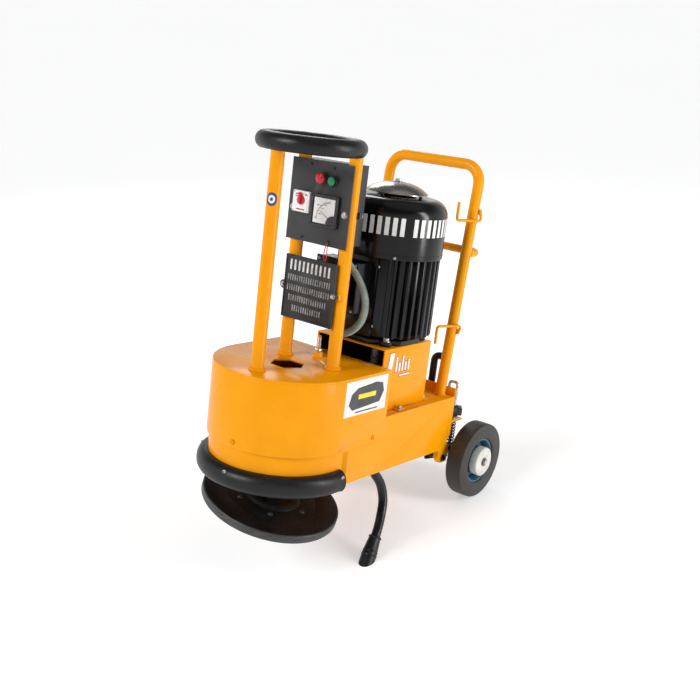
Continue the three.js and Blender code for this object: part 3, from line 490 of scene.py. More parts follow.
def hull():
    rear = level_box("drum_shell")[1].y
    deck_low, deck_high = level_box("deck_plate")
    piece("deck", copied("deck_plate", 1.4), PAINT, "deck_plate")

    def seam(middle):
        """Edges where the drum's wall runs on into the side plates without a step."""
        beside = middle.y > 50.1 and abs(middle.z - SEAM) < 1
        ahead = abs(middle.y - 50.3) < 0.5 and abs(middle.x) > 209
        return beside or ahead or (abs(middle.y - rear) < 1 and middle.z < LEDGE)

    piece("drum", copied("drum_shell", 1.0, skip=seam, cut=LEDGE), PAINT, "drum_shell")
    rim = [Vector((x, y, deck_low.z - 0.2)) for x, y in half_round(HULL_SIDE - 1.2, rear - 2)]
    piece("deck_weld", bead(rim, 1.5), PAINT)
    piece("skirt", copied("skirt_band", 0.8), PAINT, "skirt_band")
    piece("chassis_plates", copied("chassis_shell", 1.2, skip=seam), PAINT, "chassis_shell")
    piece("belt_cover", copied("motor_box", 2.0), PAINT, "motor_box")
    # painted shade: dark sheets just inside the belt cover's walls turn its orange inside black, standing in
    # for the shade in there
    low, high = level_box("motor_box")
    sides = (low.y + 4, high.y - 9)
    shade_walls = [((low.x + 6, high.x - 6), (high.y - 8, high.y - 6)), ((high.x - 8, high.x - 6), sides),
             ((low.x + 6, low.x + 8), sides)]
    piece("belt_cover_painted_shade", joined(*[block(x, y, (low.z + 3, high.z - 8), 0.3, 1) for x, y in shade_walls]), BLACK)
    piece("bearing_deck", copied("bearing_plate", 1.0), PAINT, "bearing_plate")
    for name, side in SIDES:
        ramp = [(side * x, y) for x, y in ((206.5, 38), (214.9, 50.6), (210.5, 52), (203, 42))]
        piece(f"skirt_joint_{name}", raised(ramp, -319.6, SEAM - 0.4), PAINT)
        cover = [(0, 214.8), (11, 214.8), (11, 215.2), (10, 215.6), (0, 215.8)]
        button = moved(lathe(cover, 32), (0, *STAND_PIN), "X")
        if side < 0:
            button.transform(Matrix.Scale(-1, 4, (1, 0, 0)))
        piece(f"stand_pin_cover_{name}", button, PAINT)
    # the drum is held to the skirt and the chassis by painted screws
    spots = [(11, 0.6 - HULL_SIDE, "Y", -1), (HULL_SIDE - 0.4, 162, "X", 1), (0.4 - HULL_SIDE, 162, "X", -1)]
    series("drum_screw", [pan_screw((x, y, -199), axis, 8, side) for x, y, axis, side in spots], PAINT)
    thread = helix(STUD_AT, 5.9, 25, deck_high.z - 1.5, 2.5)
    piece("stud_thread", sweep(thread, 0.8, 6), STEEL)
    nut = rounded(raised(circle(12, 6, 0.3, STUD_AT), 14.2, 23.5), 0.8)
    piece("stud_nut", nut, STEEL)


FOOT_REACH = 26


def box_tabs():
    """Slotted feet that bolt the motor box to the ledge, with rough welds round its foot."""
    low, high = level_box("motor_box")
    z = LEDGE + 1.2
    runs = [[(high.x + 1.5, low.y + 3 + k, z) for k in range(0, 62, 3)],
            [(high.x + 1.5, low.y + 118 + k, z) for k in range(0, 72, 3)],
            [(high.x - k, high.y + 1.5, z) for k in range(0, 40, 3)],
            [(HULL_SIDE - 3, low.y + 6 + k, z) for k in range(0, 168, 3)],
            [(high.x + 2 + k, low.y + 2.5, z) for k in range(0, 30, 3)]]
    series("box_weld", [bead([Vector(p) for p in run], 1.7, 0.5) for run in runs], WELD)
    spots = [(high.x, low.y + 90, 1), (high.x - 14, high.y, 0), (low.x, low.y + 90, -1),
             (low.x, high.y - 40, -1)]
    for i, (x, y, side) in enumerate(spots):
        if side == 0:
            span_x, span_y, centre = (x - 14, x + 14), (y, y + FOOT_REACH), (x, y + FOOT_REACH * 0.55)
        else:
            span_x, span_y = sorted((x, x + side * FOOT_REACH)), (y - 17, y + 17)
            centre = (x + side * FOOT_REACH * 0.55, y)
        tab = block(span_x, span_y, (LEDGE + 0.3, LEDGE + 5.3), 1.0)
        piece(f"box_foot_{i + 1}", tab, PAINT)
        piece(f"box_bolt_{i + 1}", hex_bolt((*centre, LEDGE + 5.2), "Z", 13, 7), STEEL)


def labels():
    """Plain stickers in place of the printed ones."""
    front, back, top, bottom = 8, 203, -9, -113
    out = HULL_SIDE + 0.1
    piece("side_label", block((out, out + 0.4), (front, back), (bottom, top), 0.1, 1), LABEL)
    shape = rounded(moved(raised([(-z, y) for y, z in ((26, -78), (36, -48), (62, -32), (150, -25), (180, -32),
                                                       (189, -58), (172, -88), (44, -96))],
                                 out + 0.3, out + 0.6), axis="X"), 0.1, 1)
    piece("side_label_shape", shape, LABEL_DARK)
    piece("side_label_bar", block((out + 0.5, out + 0.9), (68, 150), (-66, -52), 0.1, 1), LABEL_YELLOW)
    piece("side_label_line", block((out + 0.3, out + 0.6), (60, 164), (-106, -102), 0.1, 1), LABEL_DARK)
    x = level_box("motor_box")[1].x + 0.1
    for name, reach, look in (("mark_shadow", 1.8, MARK_RED), ("mark", 0.0, LABEL)):
        lift = 0.3 if look is LABEL else 0.0
        bars = [[(250, 36), (272, 36), (264, -26), (242, -26)]]
        for k, tall in enumerate((22, 2, 22, 2, 8)):
            left = 284 + 16 * k
            bars.append([(left, tall), (left + 8, tall), (left + 8, -26), (left, -26)])
        bars.append([(306, -36), (362, -36), (362, -41), (306, -41)])
        shapes = []
        for corners in bars:
            middle = [sum(c[i] for c in corners) / 4 for i in (0, 1)]
            grown = [(y + copysign(reach, y - middle[0]), z + copysign(reach, z - middle[1]))
                     for y, z in corners]
            shapes.append(raised([(-z, y) for y, z in grown], x + lift, x + lift + 0.35))
        piece(f"cover_{name}", moved(joined(*shapes), axis="X"), look)


def bumper():
    """The half round rubber bumper, with its two straight ends and its screws."""
    inner, ends = level_box("skirt_band")[1].x + 0.3, level_box("rubber_bumper")[1].y
    low, high = level_box("rubber_bumper")
    proud, middle, half = high.x - inner - 0.8, (low.z + high.z) / 2, (high.z - low.z) / 2
    section = []
    for i in range(17):
        a = radians(90 - i * 180 / 16)
        section.append((inner + proud * copysign(abs(cos(a)) ** 0.8, cos(a)),
                        middle + half * copysign(abs(sin(a)) ** 0.9, sin(a))))
    shape = bmesh.new()
    rows = []
    for y, angle in [(ends, 0)] + [(0, i * -180 / 64) for i in range(65)] + [(ends, -180)]:
        a = radians(angle)
        rows.append([shape.verts.new((r * cos(a), r * sin(a) + y, z)) for r, z in section])
    count = len(section)
    for first, second in zip(rows, rows[1:]):
        for i in range(count):
            j = (i + 1) % count
            shape.faces.new([first[i], first[j], second[j], second[i]])
    shape.faces.new(rows[0])
    shape.faces.new(list(reversed(rows[-1])))
    piece("bumper", rounded(shape, 1.5, 2, 60), RUBBER, "rubber_bumper")
    reach = inner + proud - 4
    series("bumper_screw", [radial(pan_screw((0, 0, 0), "Z", 6), (0, 0), angle, reach - 2.2, middle + 19)
                            for angle in (-88, -150)], STEEL)
    for name, side in SIDES:
        piece(f"bumper_end_screw_{name}", pan_screw((side * (reach + 1.2), 12, middle + 19), "X", 5.5, side),
              STEEL)


# ---- posts, ring and panel
POSTS = ("post_front", "post_rear_right", "post_rear_left")
RING_RADIUS = 128
RING_TUBE = 25.5
HOOP_TUBE = 14.9
POST_TUBE = 19


def ring():
    low, high = level_box("ring_hoop")
    centre = (low + high) / 2
    middle = (RING_RADIUS, 0)
    sleeve = arc(middle, RING_TUBE, -58, 238, 40) + arc(middle, HOOP_TUBE + 0.9, 238, -58, 24)
    piece("ring_cover", moved(lathe(sleeve, 128, ring=True), centre), RUBBER, "ring_rubber")
    piece("ring_tube", moved(lathe(circle(HOOP_TUBE, 24, 0, middle), ring=True), centre), STEEL, "ring_hoop")
    # the rubber sleeve's butt joint, and the moulding line on top of it
    angle = radians(127)
    joint_at = Vector((RING_RADIUS * cos(angle), RING_RADIUS * sin(angle), 0))
    band = lathe([(RING_TUBE - 0.4, -1.2), (RING_TUBE + 0.25, -0.9), (RING_TUBE + 0.25, 0.9),
                  (RING_TUBE - 0.4, 1.2)], 48, ring=True)
    band.transform(Matrix.Rotation(angle, 4, "Z") @ AXES["Y"])
    piece("ring_joint", moved(band, centre + joint_at), DARK)


def post_axis(node):
    """The plan centre, outer radius and ends of a post."""
    low, high = level_box(node)
    return (low.x + high.x) / 2, (low.y + high.y) / 2, low.z, high.z


def posts():
    for node in POSTS:
        x, y, bottom, top = post_axis(node)
        tube = lathe([(15.8, bottom + 4), (15.8, top - 4), (POST_TUBE, top - 0.2), (POST_TUBE, bottom + 12),
                      (20.5, bottom + 8), (24, bottom + 7), (24.5, bottom + 5.5), (24.5, bottom + 0.8),
                      (23.8, bottom), (17, bottom)], 64, ring=True)
        piece(node.replace("post_", "tube_"), moved(tube, (x, y, 0)), PAINT, node)
        piece(node.replace("post_", "foot_weld_"), ring_bead((x, y, bottom + 8), 20.6, 2.3), PAINT)
    x, y, _, _ = post_axis("post_front")
    for name, half, proud, look in (("sticker", 15.5, 0.3, LABEL_BLUE), ("sticker_ring", 9.5, 0.5, LABEL),
                                    ("sticker_core", 4, 0.7, LABEL_BLUE)):
        spot = wrapped(POST_TUBE, proud, -64, half, 473 - 1.2 * half, 473 + 1.2 * half, 14, 14, True)
        piece(name, moved(spot, (x, y, 0)), look)


def panel():
    face = level_box("panel_plate")[0].y
    piece("panel", copied("panel_plate", 0.8), PANEL, "panel_plate")
    piece("panel_box", copied("control_box", 1.5), PANEL, "control_box")
    series("panel_screw", [pan_screw((x, face, z), "Y", 4.4, -1)
                           for x, z in ((-16, 564), (67, 563), (-25, 358), (73, 359))], BLACK)
    for i, (x, z, out) in enumerate([(-67, 438, -14), (119, 441, 14)]):
        piece(f"clamp_bolt_{i + 1}", hex_bolt((x, face, z), "Y", 13, 6, -1), STEEL)
        post = post_axis(POSTS[1 + i])
        ear_x = post[0] + out
        band = wrapped(POST_TUBE + 0.1, 1.8, 90, 25, z - 9, z + 9, 24)
        piece(f"clamp_band_{i + 1}", moved(band, (post[0], post[1], 0)), PANEL)
        ear = block((ear_x - 8, ear_x + 8), (post[1] + 15, post[1] + 25), (z - 9, z + 9), 1.2)
        piece(f"clamp_ear_{i + 1}", ear, PANEL)
        piece(f"clamp_nut_{i + 1}", hex_bolt((ear_x, post[1] + 25, z), "Y", 13, 6), STEEL)


BEZEL_FLANGE = 33.5              # where a bezel meets the panel


def push_button(body, look, rise):
    """A round button head on its stem, in a bezel."""
    node, bezel = f"{body}_button", f"{body}_bezel"
    low, high = level_box(node)
    x, z = (low.x + high.x) / 2, (low.z + high.z) / 2
    radius, front = (high.x - low.x) / 2, low.y
    rim_low, rim_high = level_box(bezel)
    back, rim = rim_low.y - 4.5, rim_low.y
    head = lathe([(0, front), (radius * 0.5, front + rise * 0.25), (radius * 0.85, front + rise * 0.7),
                  (radius, front + rise + 1.4), (radius, back - 1), (radius - 1, back), (8, back),
                  (8, high.y), (0, high.y)], 64)
    piece(f"{body}_head", moved(head, (x, 0, z), "Y"), look, node, body)
    collar = lathe([(8.4, rim + 0.6), (13.5, rim), (15, rim + 1.4), (15, BEZEL_FLANGE), (11, BEZEL_FLANGE),
                    (11, rim_high.y), (8.4, rim_high.y)], 64, ring=True)
    piece(f"{body}_collar", moved(collar, (x, 0, z), "Y"), DARK, bezel)


def controls():
    push_button("stop", RED, 4.5)
    push_button("start", GREEN, 1.0)
    isolator()
    meter()


def isolator():
    low, high = level_box("isolator_base")
    piece("isolator_plate", copied("isolator_base", 1.6), WHITE, "isolator_base")
    inset = block((low.x + 6, high.x - 6), (low.y - 0.9, low.y + 0.4), (low.z + 5, high.z - 8), 0.6)
    piece("isolator_face", inset, LABEL)
    lever_low, lever_high = level_box("isolator_lever")
    x, z = -27, 462
    boss = lathe([(0, lever_low.y + 7), (11.5, lever_low.y + 7), (13, lever_low.y + 8.6), (13, 17.8),
                  (5, 17.8), (5, lever_high.y), (0, lever_high.y)], 48)
    grip = block((-31, -23), (lever_low.y, lever_low.y + 9), (452, 484), 2.0, 3)
    lever = joined(moved(boss, (x, 0, z), "Y"), grip)
    piece("isolator_handle", lever, RED, "isolator_lever", "isolator")
    marks = [((-48, -38), (476, 479)), ((-48, -41), (470, 473)), ((-15, -6), (476, 479)),
             ((-42, -12), (434, 437))]
    series("isolator_mark", [block(x, (low.y - 1.2, low.y - 0.7), z, 0.05, 1) for x, z in marks], MARK_RED)
    series("isolator_screw", [pan_screw((x, low.y, z), "Y", 2.2, -1)
                              for z in (low.z + 4, high.z - 4) for x in (low.x + 4, high.x - 4)], STEEL)


def meter():
    """A square panel meter: a case, a white dial with plain ticks, a needle and a pivot cover."""
    low, high = level_box("ammeter_case")
    piece("meter_case", copied("ammeter_case", 1.6), DARK, "ammeter_case")
    face = low.y - 0.3
    dial_x, dial_z = (low.x + 11, high.x - 9), (low.z + 9, high.z - 9)
    piece("meter_dial", block(dial_x, (face - 0.6, face + 0.6), dial_z, 0.4, 1), LABEL)
    pivot = Vector((dial_x[1] - 16, 0, dial_z[0] + 14))
    ticks = []
    for i in range(21):
        a = radians(92 + i * 4.3)
        long_tick = 7 if i % 5 == 0 else 4
        tick = raised([(44, -0.7), (44 + long_tick, -0.7), (44 + long_tick, 0.7), (44, 0.7)], 0.5, 0.9)
        tick.transform(Matrix.Rotation(-a, 4, "Z"))
        ticks.append(moved(tick, (pivot.x, face - 1.4, pivot.z), "Y"))
    piece("meter_ticks", joined(*ticks), LABEL_DARK)
    a = radians(150)
    tip = pivot + Vector((cos(a) * 41, face - 1.4, sin(a) * 41))
    root = pivot + Vector((0, face - 1.4, 0))
    piece("meter_needle", sweep([root, root.lerp(tip, 0.5), tip], lambda i: 0.9 - 0.3 * i, 8), LABEL_DARK)
    corner = (pivot.x + 16, pivot.z - 14)
    quarter = [corner] + arc(corner, 26, 90, 180, 10)
    cover = raised([(x, -z) for x, z in quarter], face - 3.4, face - 0.5)
    piece("meter_cover", rounded(moved(cover, axis="Y"), 0.6), DARK)
    frame_bars = [((low.x, high.x), (high.z - 6, high.z)), ((low.x, high.x), (low.z, low.z + 6)),
                  ((low.x, low.x + 7), (low.z, high.z)), ((high.x - 6, high.x), (low.z, high.z))]
    marks = [(low.x + x, low.z + z) for x, z in ((22, 58), (38, 50), (30, 34), (18, 20), (50, 60))]
    series("meter_mark", [block((x, x + 9), (face - 1.2, face - 0.6), (z, z + 1.4), 0.05, 1) for x, z in marks],
           LABEL_DARK)
    series("meter_frame", [block(x, (low.y - 2.2, low.y + 0.5), z, 0.8) for x, z in frame_bars], DARK)
    loop = smooth_path([(72, 31, 357), (67, 30, 344), (65, 30, 324), (68, 30.5, 307), (72, 31, 306),
                        (75, 30, 322), (74, 30, 342), (74, 31.5, 356)], 8)
    piece("seal_wire", sweep(loop, 1.4, 8), RED)


def nameplate():
    """The cast plate, with a raised border and plain raised bars where the real one has words."""
    low, high = level_box("nameplate")
    face = low.y
    x0, x1 = -68, 118
    z0, z1 = low.z, high.z
    piece("plate", copied("nameplate", 1.6), CAST, "nameplate")
    border = [((x0 + 2, x1 - 2), (z1 - 6, z1 - 2)), ((x0 + 2, x1 - 2), (z0 + 2, z0 + 6)),
              ((x0 + 2, x0 + 6), (z0 + 2, z1 - 2)), ((x1 - 6, x1 - 2), (z0 + 2, z1 - 2))]
    series("plate_border", [block(x, (face - 2.0, face + 0.5), z, 0.9) for x, z in border], CAST)
    rows = [(z1 - 42, 30, 15, 7), (z1 - 73, 18, 19, 4), (z1 - 102, 18, 19, 4), (z1 - 131, 18, 17, 4),
            (z1 - 160, 18, 13, 4)]
    for number, (base, height, count, wide) in enumerate(rows):
        pitch = 8.4 if number else 15.5
        count = count if number else 10
        left = (x0 + x1 - pitch * (count - 1) - wide) / 2
        bars = [block((left + k * pitch, left + k * pitch + wide), (face - 2.2, face + 0.4),
                      (base, base + height), 0.8, 1) for k in range(count)]
        look = GREY_RELIEF if number else WHITE_RELIEF
        piece(f"plate_relief_{number + 1}", joined(*bars), look)
    for i, x in enumerate((-70, 116)):
        piece(f"plate_bolt_{i + 1}", hex_bolt((x, face - 0.2, 213), "Y", 10, 5, -1), STEEL)
        post = post_axis(POSTS[1 + i])
        bracket = block((post[0] - 14, post[0] + 14), (high.y + 0.3, post[1] - 18.6), (205, 221), 0.8)
        piece(f"plate_bracket_{i + 1}", bracket, PAINT)


# ---- motor
MOTOR_AT = (63, 348, 0)
CONDUIT_ROUTE = [(70, 108, 349.4), (70, 108, 336), (88, 111, 304), (126, 118, 264), (148, 129, 218),
                 (151, 136, 180), (141, 140, 140), (113, 145, 106), (72, 152, 84), (33, 162, 86),
                 (10, 171, 110), (8, 173.7, 132), (8, 173.7, 149.2)]


def conduit():
    """The ribbed lead between the control box and the motor's terminal box, with its two glands."""
    path = even(smooth_path(CONDUIT_ROUTE, 16), 1.3)
    ribbed = sweep(path, lambda i: (10.9, 10.9, 8.4, 8.4)[i % 4], 20)
    piece("conduit", ribbed, CONDUIT, "motor_conduit", smooth=50)
    for name, (x, y, low) in (("gland_upper", (70, 108, 333)), ("gland_lower", (8, 173.7, 133))):
        nut = rounded(raised(circle(17, 6, 0, (x, y)), low + 4, low + 16.6), 0.9)
        collar = lathe([(11.1, low), (14, low), (15, low + 4), (11.1, low + 4)], 32, ring=True)
        piece(name, joined(nut, moved(collar, (x, y, 0))), DARK)


def motor():
    low = level_box("motor_frame")[0]
    piece("motor_casting", copied("motor_frame", 0.7), MOTOR, "motor_frame")
    for i, angle in enumerate((45, 135, 225, 315)):
        lug = rounded(raised([(112, -19), (134, -17), (143, -9), (143, 9), (134, 17), (112, 19)],
                             low.z + 0.3, low.z + 15), 1.2)
        lug.transform(Matrix.Rotation(radians(angle), 4, "Z"))
        piece(f"motor_lug_{i + 1}", moved(lug, MOTOR_AT), MOTOR)
    series("motor_bolt", [hex_bolt((x, y, low.z + 15), "Z", 17, 9, 1, 2.5)
                          for x, y in circle(131, 4, pi / 4, MOTOR_AT)], STEEL)
    series("motor_pad_screw", [radial(pan_screw((0, 0, 0), "Z", 6), MOTOR_AT, -66, 140.2, z)
                               for z in (110, 288)], STEEL)
    cowl()
    cap()
    piece("terminal_case", copied("terminal_box", 3.0), MOTOR, "terminal_box")
    piece("terminal_cover", copied("terminal_lid", 2.0), MOTOR, "terminal_lid")
    lid = level_box("terminal_lid")[0].y
    series("terminal_screw", [pan_screw((x, lid, z), "Y", 4.5, -1)
                              for z in (157, 291) for x in (-35, 101)], STEEL)


def cowl():
    low, high = level_box("motor_cowl")
    outer, wall, shoulder, mouth = 160, 3, 46, 60
    top, bottom = high.z, low.z
    profile = [(outer - wall, bottom), (outer - 0.8, bottom), (outer + 0.0, bottom + 1.2)]
    profile += arc((outer - shoulder, top - shoulder), shoulder, 0, 90, 14)
    profile += [(mouth, top), (mouth, top - wall)]
    profile += arc((outer - shoulder, top - shoulder), shoulder - wall, 90, 0, 10)
    piece("cowl", moved(lathe(profile, 144, ring=True), MOTOR_AT), MOTOR, "motor_cowl")
    seam = lathe([(outer - 1, bottom + 10.5), (outer + 0.7, bottom + 11.5), (outer + 0.7, bottom + 14.5),
                  (outer - 1, bottom + 15.5)], 144, ring=True)
    piece("cowl_bead", moved(seam, MOTOR_AT), MOTOR)
    series("cowl_screw", [radial(pan_screw((0, 0, 0), "Z", 5), MOTOR_AT, -49 + 90 * i, outer - 0.2, bottom + 6)
                          for i in range(4)], STEEL)
    # plain bars round the shell, where the real one has words
    bars = [wrapped(outer, 0.4, start + 8.2 * k, 6.5, top - 101, top - 49, 4)
            for start, count in ((-110, 9), (-30, 8)) for k in range(count)]
    piece("cowl_bars", moved(joined(*bars), MOTOR_AT), LABEL)


def cap():
    low, high = level_box("rain_cap")
    brim = high.z - 36
    dome = [(0, brim + 30.6), (20, brim + 30.2), (42, brim + 27.4), (60, brim + 22.2), (74, brim + 15.6),
            (84, brim + 9.4), (91, brim + 4.2), (94.6, brim + 1.2), (95, brim - 0.6), (94, brim - 1.2)]
    under = [(r - 1.0 if r > 30 else r, z - 2.2) for r, z in reversed(dome[:-2])]
    piece("cap", moved(lathe(dome + under, 128), MOTOR_AT), STAINLESS, "rain_cap")
    piece("cap_nut", hex_bolt((*MOTOR_AT[:2], brim + 30.4), "Z", 17, 8, 1, 2), STEEL)
    stud = lathe([(0, brim + 36), (3.4, brim + 36), (4, brim + 35.2), (4, brim + 10), (0, brim + 10)], 20)
    piece("cap_stud", moved(stud, MOTOR_AT), STEEL)
    post = [(0, low.z - 3), (5, low.z - 3), (5, brim + 14), (0, brim + 14)]
    series("cap_post", [moved(lathe(post, 20), (x, y, 0)) for x, y in circle(72, 3, pi / 6, MOTOR_AT)], MOTOR)


# ---- handle and rear fittings
HANDLE_X = 172
HANDLE_TUBE = 17.2
HANDLE_BEND = 58
PUSH_BAR_Z = 316
PUSH_BAR_TUBE = 13
PUSH_BAR_BEND = 30
HANDLE_LEAN = radians(4.57)


def handle_y(z):
    """The handle legs' middle, which leans back as it rises from the ledge."""
    return 573.8 + (z - LEDGE) * tan(HANDLE_LEAN)


def handle():
    tube = HANDLE_TUBE
    bottom, top = LEDGE + 1.8, level_box("handle_loop")[1].z - tube - 0.5
    corners = [(x, handle_y(z), z) for x, z in ((HANDLE_X, bottom), (HANDLE_X, top), (-HANDLE_X, top),
                                                (-HANDLE_X, bottom))]
    piece("handle", sweep(bent(corners, HANDLE_BEND, 14), tube - 0.1, 48), PAINT, "handle_loop")
    y = handle_y(PUSH_BAR_Z)
    corners = [(x, y + reach, PUSH_BAR_Z) for x, reach in ((HANDLE_X, 16), (HANDLE_X, 75), (-HANDLE_X, 75),
                                                           (-HANDLE_X, 16))]
    piece("push_rail", sweep(bent(corners, PUSH_BAR_BEND, 12), PUSH_BAR_TUBE, 40), PAINT, "push_bar")
    for name, side in SIDES:
        rim = [Vector((side * HANDLE_X + 13.6 * cos(a), y + tube + 1 - 3.4 * abs(cos(a)),
                       PUSH_BAR_Z + 13.6 * sin(a))) for a in [i * pi / 20 for i in range(41)]]
        piece(f"push_rail_weld_{name}", bead(rim, 1.9), PAINT)
        piece(f"handle_weld_{name}", ring_bead((side * HANDLE_X, handle_y(bottom), LEDGE + 2), tube + 0.8, 2.6),
              PAINT)
    run, turn, rod = 96, radians(20), 4.5
    for name, z, root, tip in (("upper", 424, 36, 56), ("lower", 88, -28, -56)):
        start = Vector((HANDLE_X + tube + 10, handle_y(z) + 10, z))
        heel = Vector((HANDLE_X + tube + rod + 1, handle_y(z + root) + 2, z + root))
        knee = start + Vector((-run * sin(turn), -run * cos(turn), 0))
        hook = bent([heel, start, knee, knee + Vector((0, 0, tip))], 9, 8)
        piece(f"hook_{name}", sweep(hook, rod, 20), PAINT, f"cable_hook_{name}")
        weld = [heel + Vector((-rod, 2, copysign(k, -root))) for k in range(0, 20, 2)]
        piece(f"hook_weld_{name}", bead(weld, 2.6), PAINT)


def rear_fittings():
    low, high = level_box("rear_grab")
    left, right = low.x + 12, high.x - 12
    arch = bent([(left, 622, low.z), (left, 622, high.z - 12), (right, 622, high.z - 12), (right, 622, low.z)],
                20, 10)
    piece("rear_arch", sweep(arch, 12, 32), BLACK, "rear_grab")
    wire = bent([(214, 608, -175), (214, 608, -100), (184, 608, -100), (184, 608, -130)], 10, 8)
    piece("bail", sweep(wire, 5, 20), STEEL, "rear_bail")
    for name, side in SIDES:
        bolt = hex_bolt((side * (HULL_SIDE - 0.2), 575, -350), "X", 13, 6, side, 2)
        piece(f"pivot_bolt_{name}", bolt, BLACK)


def adjuster():
    low, high = level_box("adjuster_screw")
    x, y = (low.x + high.x) / 2, (low.y + high.y) / 2
    rod = lathe([(0, low.z), (9.4, low.z), (9.9, low.z + 1), (9.9, low.z + 7), (9.2, low.z + 8),
                 (5.2, low.z + 8), (5.2, high.z), (0, high.z)], 32)
    thread = sweep(helix((0, 0), 5.3, low.z + 10, -232, 3, 14), 0.7, 6)
    piece("height_screw", moved(joined(rod, thread), (x, y, 0)), STEEL, "adjuster_screw", "height_adjuster")
    knob_low, knob_high = level_box("adjuster_knob")
    star = [((24.5 + 5.3 * cos(5 * a)) * cos(a), (24.5 + 5.3 * cos(5 * a)) * sin(a))
            for a in [2 * pi * i / 80 for i in range(80)]]
    grip = rounded(raised(star, knob_low.z + 8, knob_high.z - 6), 3.6, 3, 40)
    hub = lathe([(0, knob_low.z), (11, knob_low.z), (13.5, knob_low.z + 1.5), (16, knob_low.z + 14),
                 (16, knob_high.z - 7), (12, knob_high.z - 3), (8, knob_high.z - 0.6), (0, knob_high.z)], 40)
    piece("star_knob", moved(joined(grip, hub), (x, y, 0)), DARK, "adjuster_knob", "height_adjuster")
    coil_low, coil_high = level_box("adjuster_spring")
    coil = helix((x, y), 11, coil_low.z + 2.1, coil_high.z - 2.1, 10.5, 20)
    piece("coil_spring", sweep(coil, 2, 12), BLACK, "adjuster_spring")


# ---- wheels and stand
AXLE = (694, -363)
WHEEL_X = 263
TREAD_HALF = 30
LEG_TUBE = 14.5
STAND_PIN = (212, -296)


def wheels():
    piece("axle_frame", copied("wheel_frame", 1.2), BLACK, "wheel_frame", "wheel_carrier")
    edge = -TREAD_HALF
    tread = [(76, edge + 4), (80, edge + 1.2), (106, edge), (109, edge + 1.4), (119, edge + 1),
             (123.6, edge + 2.4), (125.3, edge + 6), (125.8, edge + 14), (126, 0)]
    tyre = [(74.5, edge + 8), *tread, *[(r, -z) for r, z in reversed(tread[:-1])], (74.5, -edge - 8)]
    dish = [(12, -33), (30, -33), (32, -14), (56, -12), (64, -26), (74.3, -28), (74.3, 23), (70, 22), (65, 14),
            (60, -4), (48, -7), (44, 18), (12, 23)]
    cap_face = [(10.4, 12), (44.5, 12), (48.4, 16), (49, 36), (47.6, 40), (43.5, 42.4), (30, 43.2), (19, 43),
                (15, 40.6), (10.4, 40.4)]
    boss = [(0, 33), (7, 33), (7, 47.5), (6, 48.6), (0, 48.8)]
    washer = [(7.2, 40.4), (14.6, 40.4), (14.6, 41.8), (7.2, 41.8)]
    for name, side in SIDES:
        body = f"wheel_{name}"
        outwards = ((side * WHEEL_X, *AXLE), "X", side)
        piece(f"tyre_cover_{name}", moved(lathe(tyre, 128, True), *outwards), TYRE, f"tyre_{name}", body)
        piece(f"rim_dish_{name}", moved(lathe(dish, 96, True), *outwards), BLUE, f"wheel_rim_{name}", body)
        piece(f"hub_face_{name}", moved(lathe(cap_face, 96, True), *outwards), NYLON, f"hub_cap_{name}", body)
        piece(f"axle_boss_{name}", moved(lathe(boss, 32), *outwards), STEEL, body=body)
        nut = rounded(raised(circle(12, 6), *sorted((40.6 * side, 46.5 * side))), 0.8)
        nut = joined(nut, lathe([(r, z * side) for r, z in washer], 40, True))
        piece(f"axle_nut_{name}", moved(nut, outwards[0], "X"), SPRING, body=body)


LEG_ROUTE = [(176, *STAND_PIN), (181, 242, -337), (190, 272, -378), (204, 276, -426), (216, 258, -468),
             (224, 238, -508), (236, 195, -565)]


def boot_radius(i):
    """A boot's radius along its leg: a collar, then a cone that swells to a thick foot."""
    if i < 4:
        return (17.0, 19.6, 20.2, 20.2)[i]
    return min(18.2 + 0.22 * (i - 4), 23.4) + (0.9 if i in (24, 25, 30, 31) else 0)


def stand():
    tube, pin = (sweep([Vector((-half, *STAND_PIN)), Vector((half, *STAND_PIN))], radius, sides)
                 for half, radius, sides in ((190, LEG_TUBE, 40), (HULL_SIDE - 0.4, 8, 24)))
    routes = {name: [(side * x, y, z) for x, y, z in LEG_ROUTE] for name, side in SIDES}
    legs = [sweep(smooth_path(route, 10), LEG_TUBE, 40) for route in routes.values()]
    piece("stand_tubes", joined(tube, pin, *legs), BLACK, "stand_frame", "stand")
    floor_point = TO_LEVEL @ Vector((0, 0, 0.0002))
    floor_normal = (TO_LEVEL.to_3x3() @ Vector((0, 0, 1))).normalized()
    for name, route in routes.items():
        node = f"stand_boot_{name}"
        path = smooth_path(route, 24)
        ahead = (path[-1] - path[-2]).normalized()
        long_path = even(path + [path[-1] + ahead * 60], 2)
        start = next(i for i, p in enumerate(long_path) if p.z < level_box(node)[1].z - 10)
        boot = sweep(long_path[start:], boot_radius, 48)
        sliced(boot, floor_point, floor_normal, below=True)
        open_edges = [e for e in boot.edges if len(e.link_faces) == 1]
        bmesh.ops.contextual_create(boot, geom=open_edges)
        piece(f"boot_{name}", boot, RUBBER, node, "stand", smooth=50)


# ---- grinding head
DISC_LEAN = 12.9                 # how far the parked disc hangs out of square


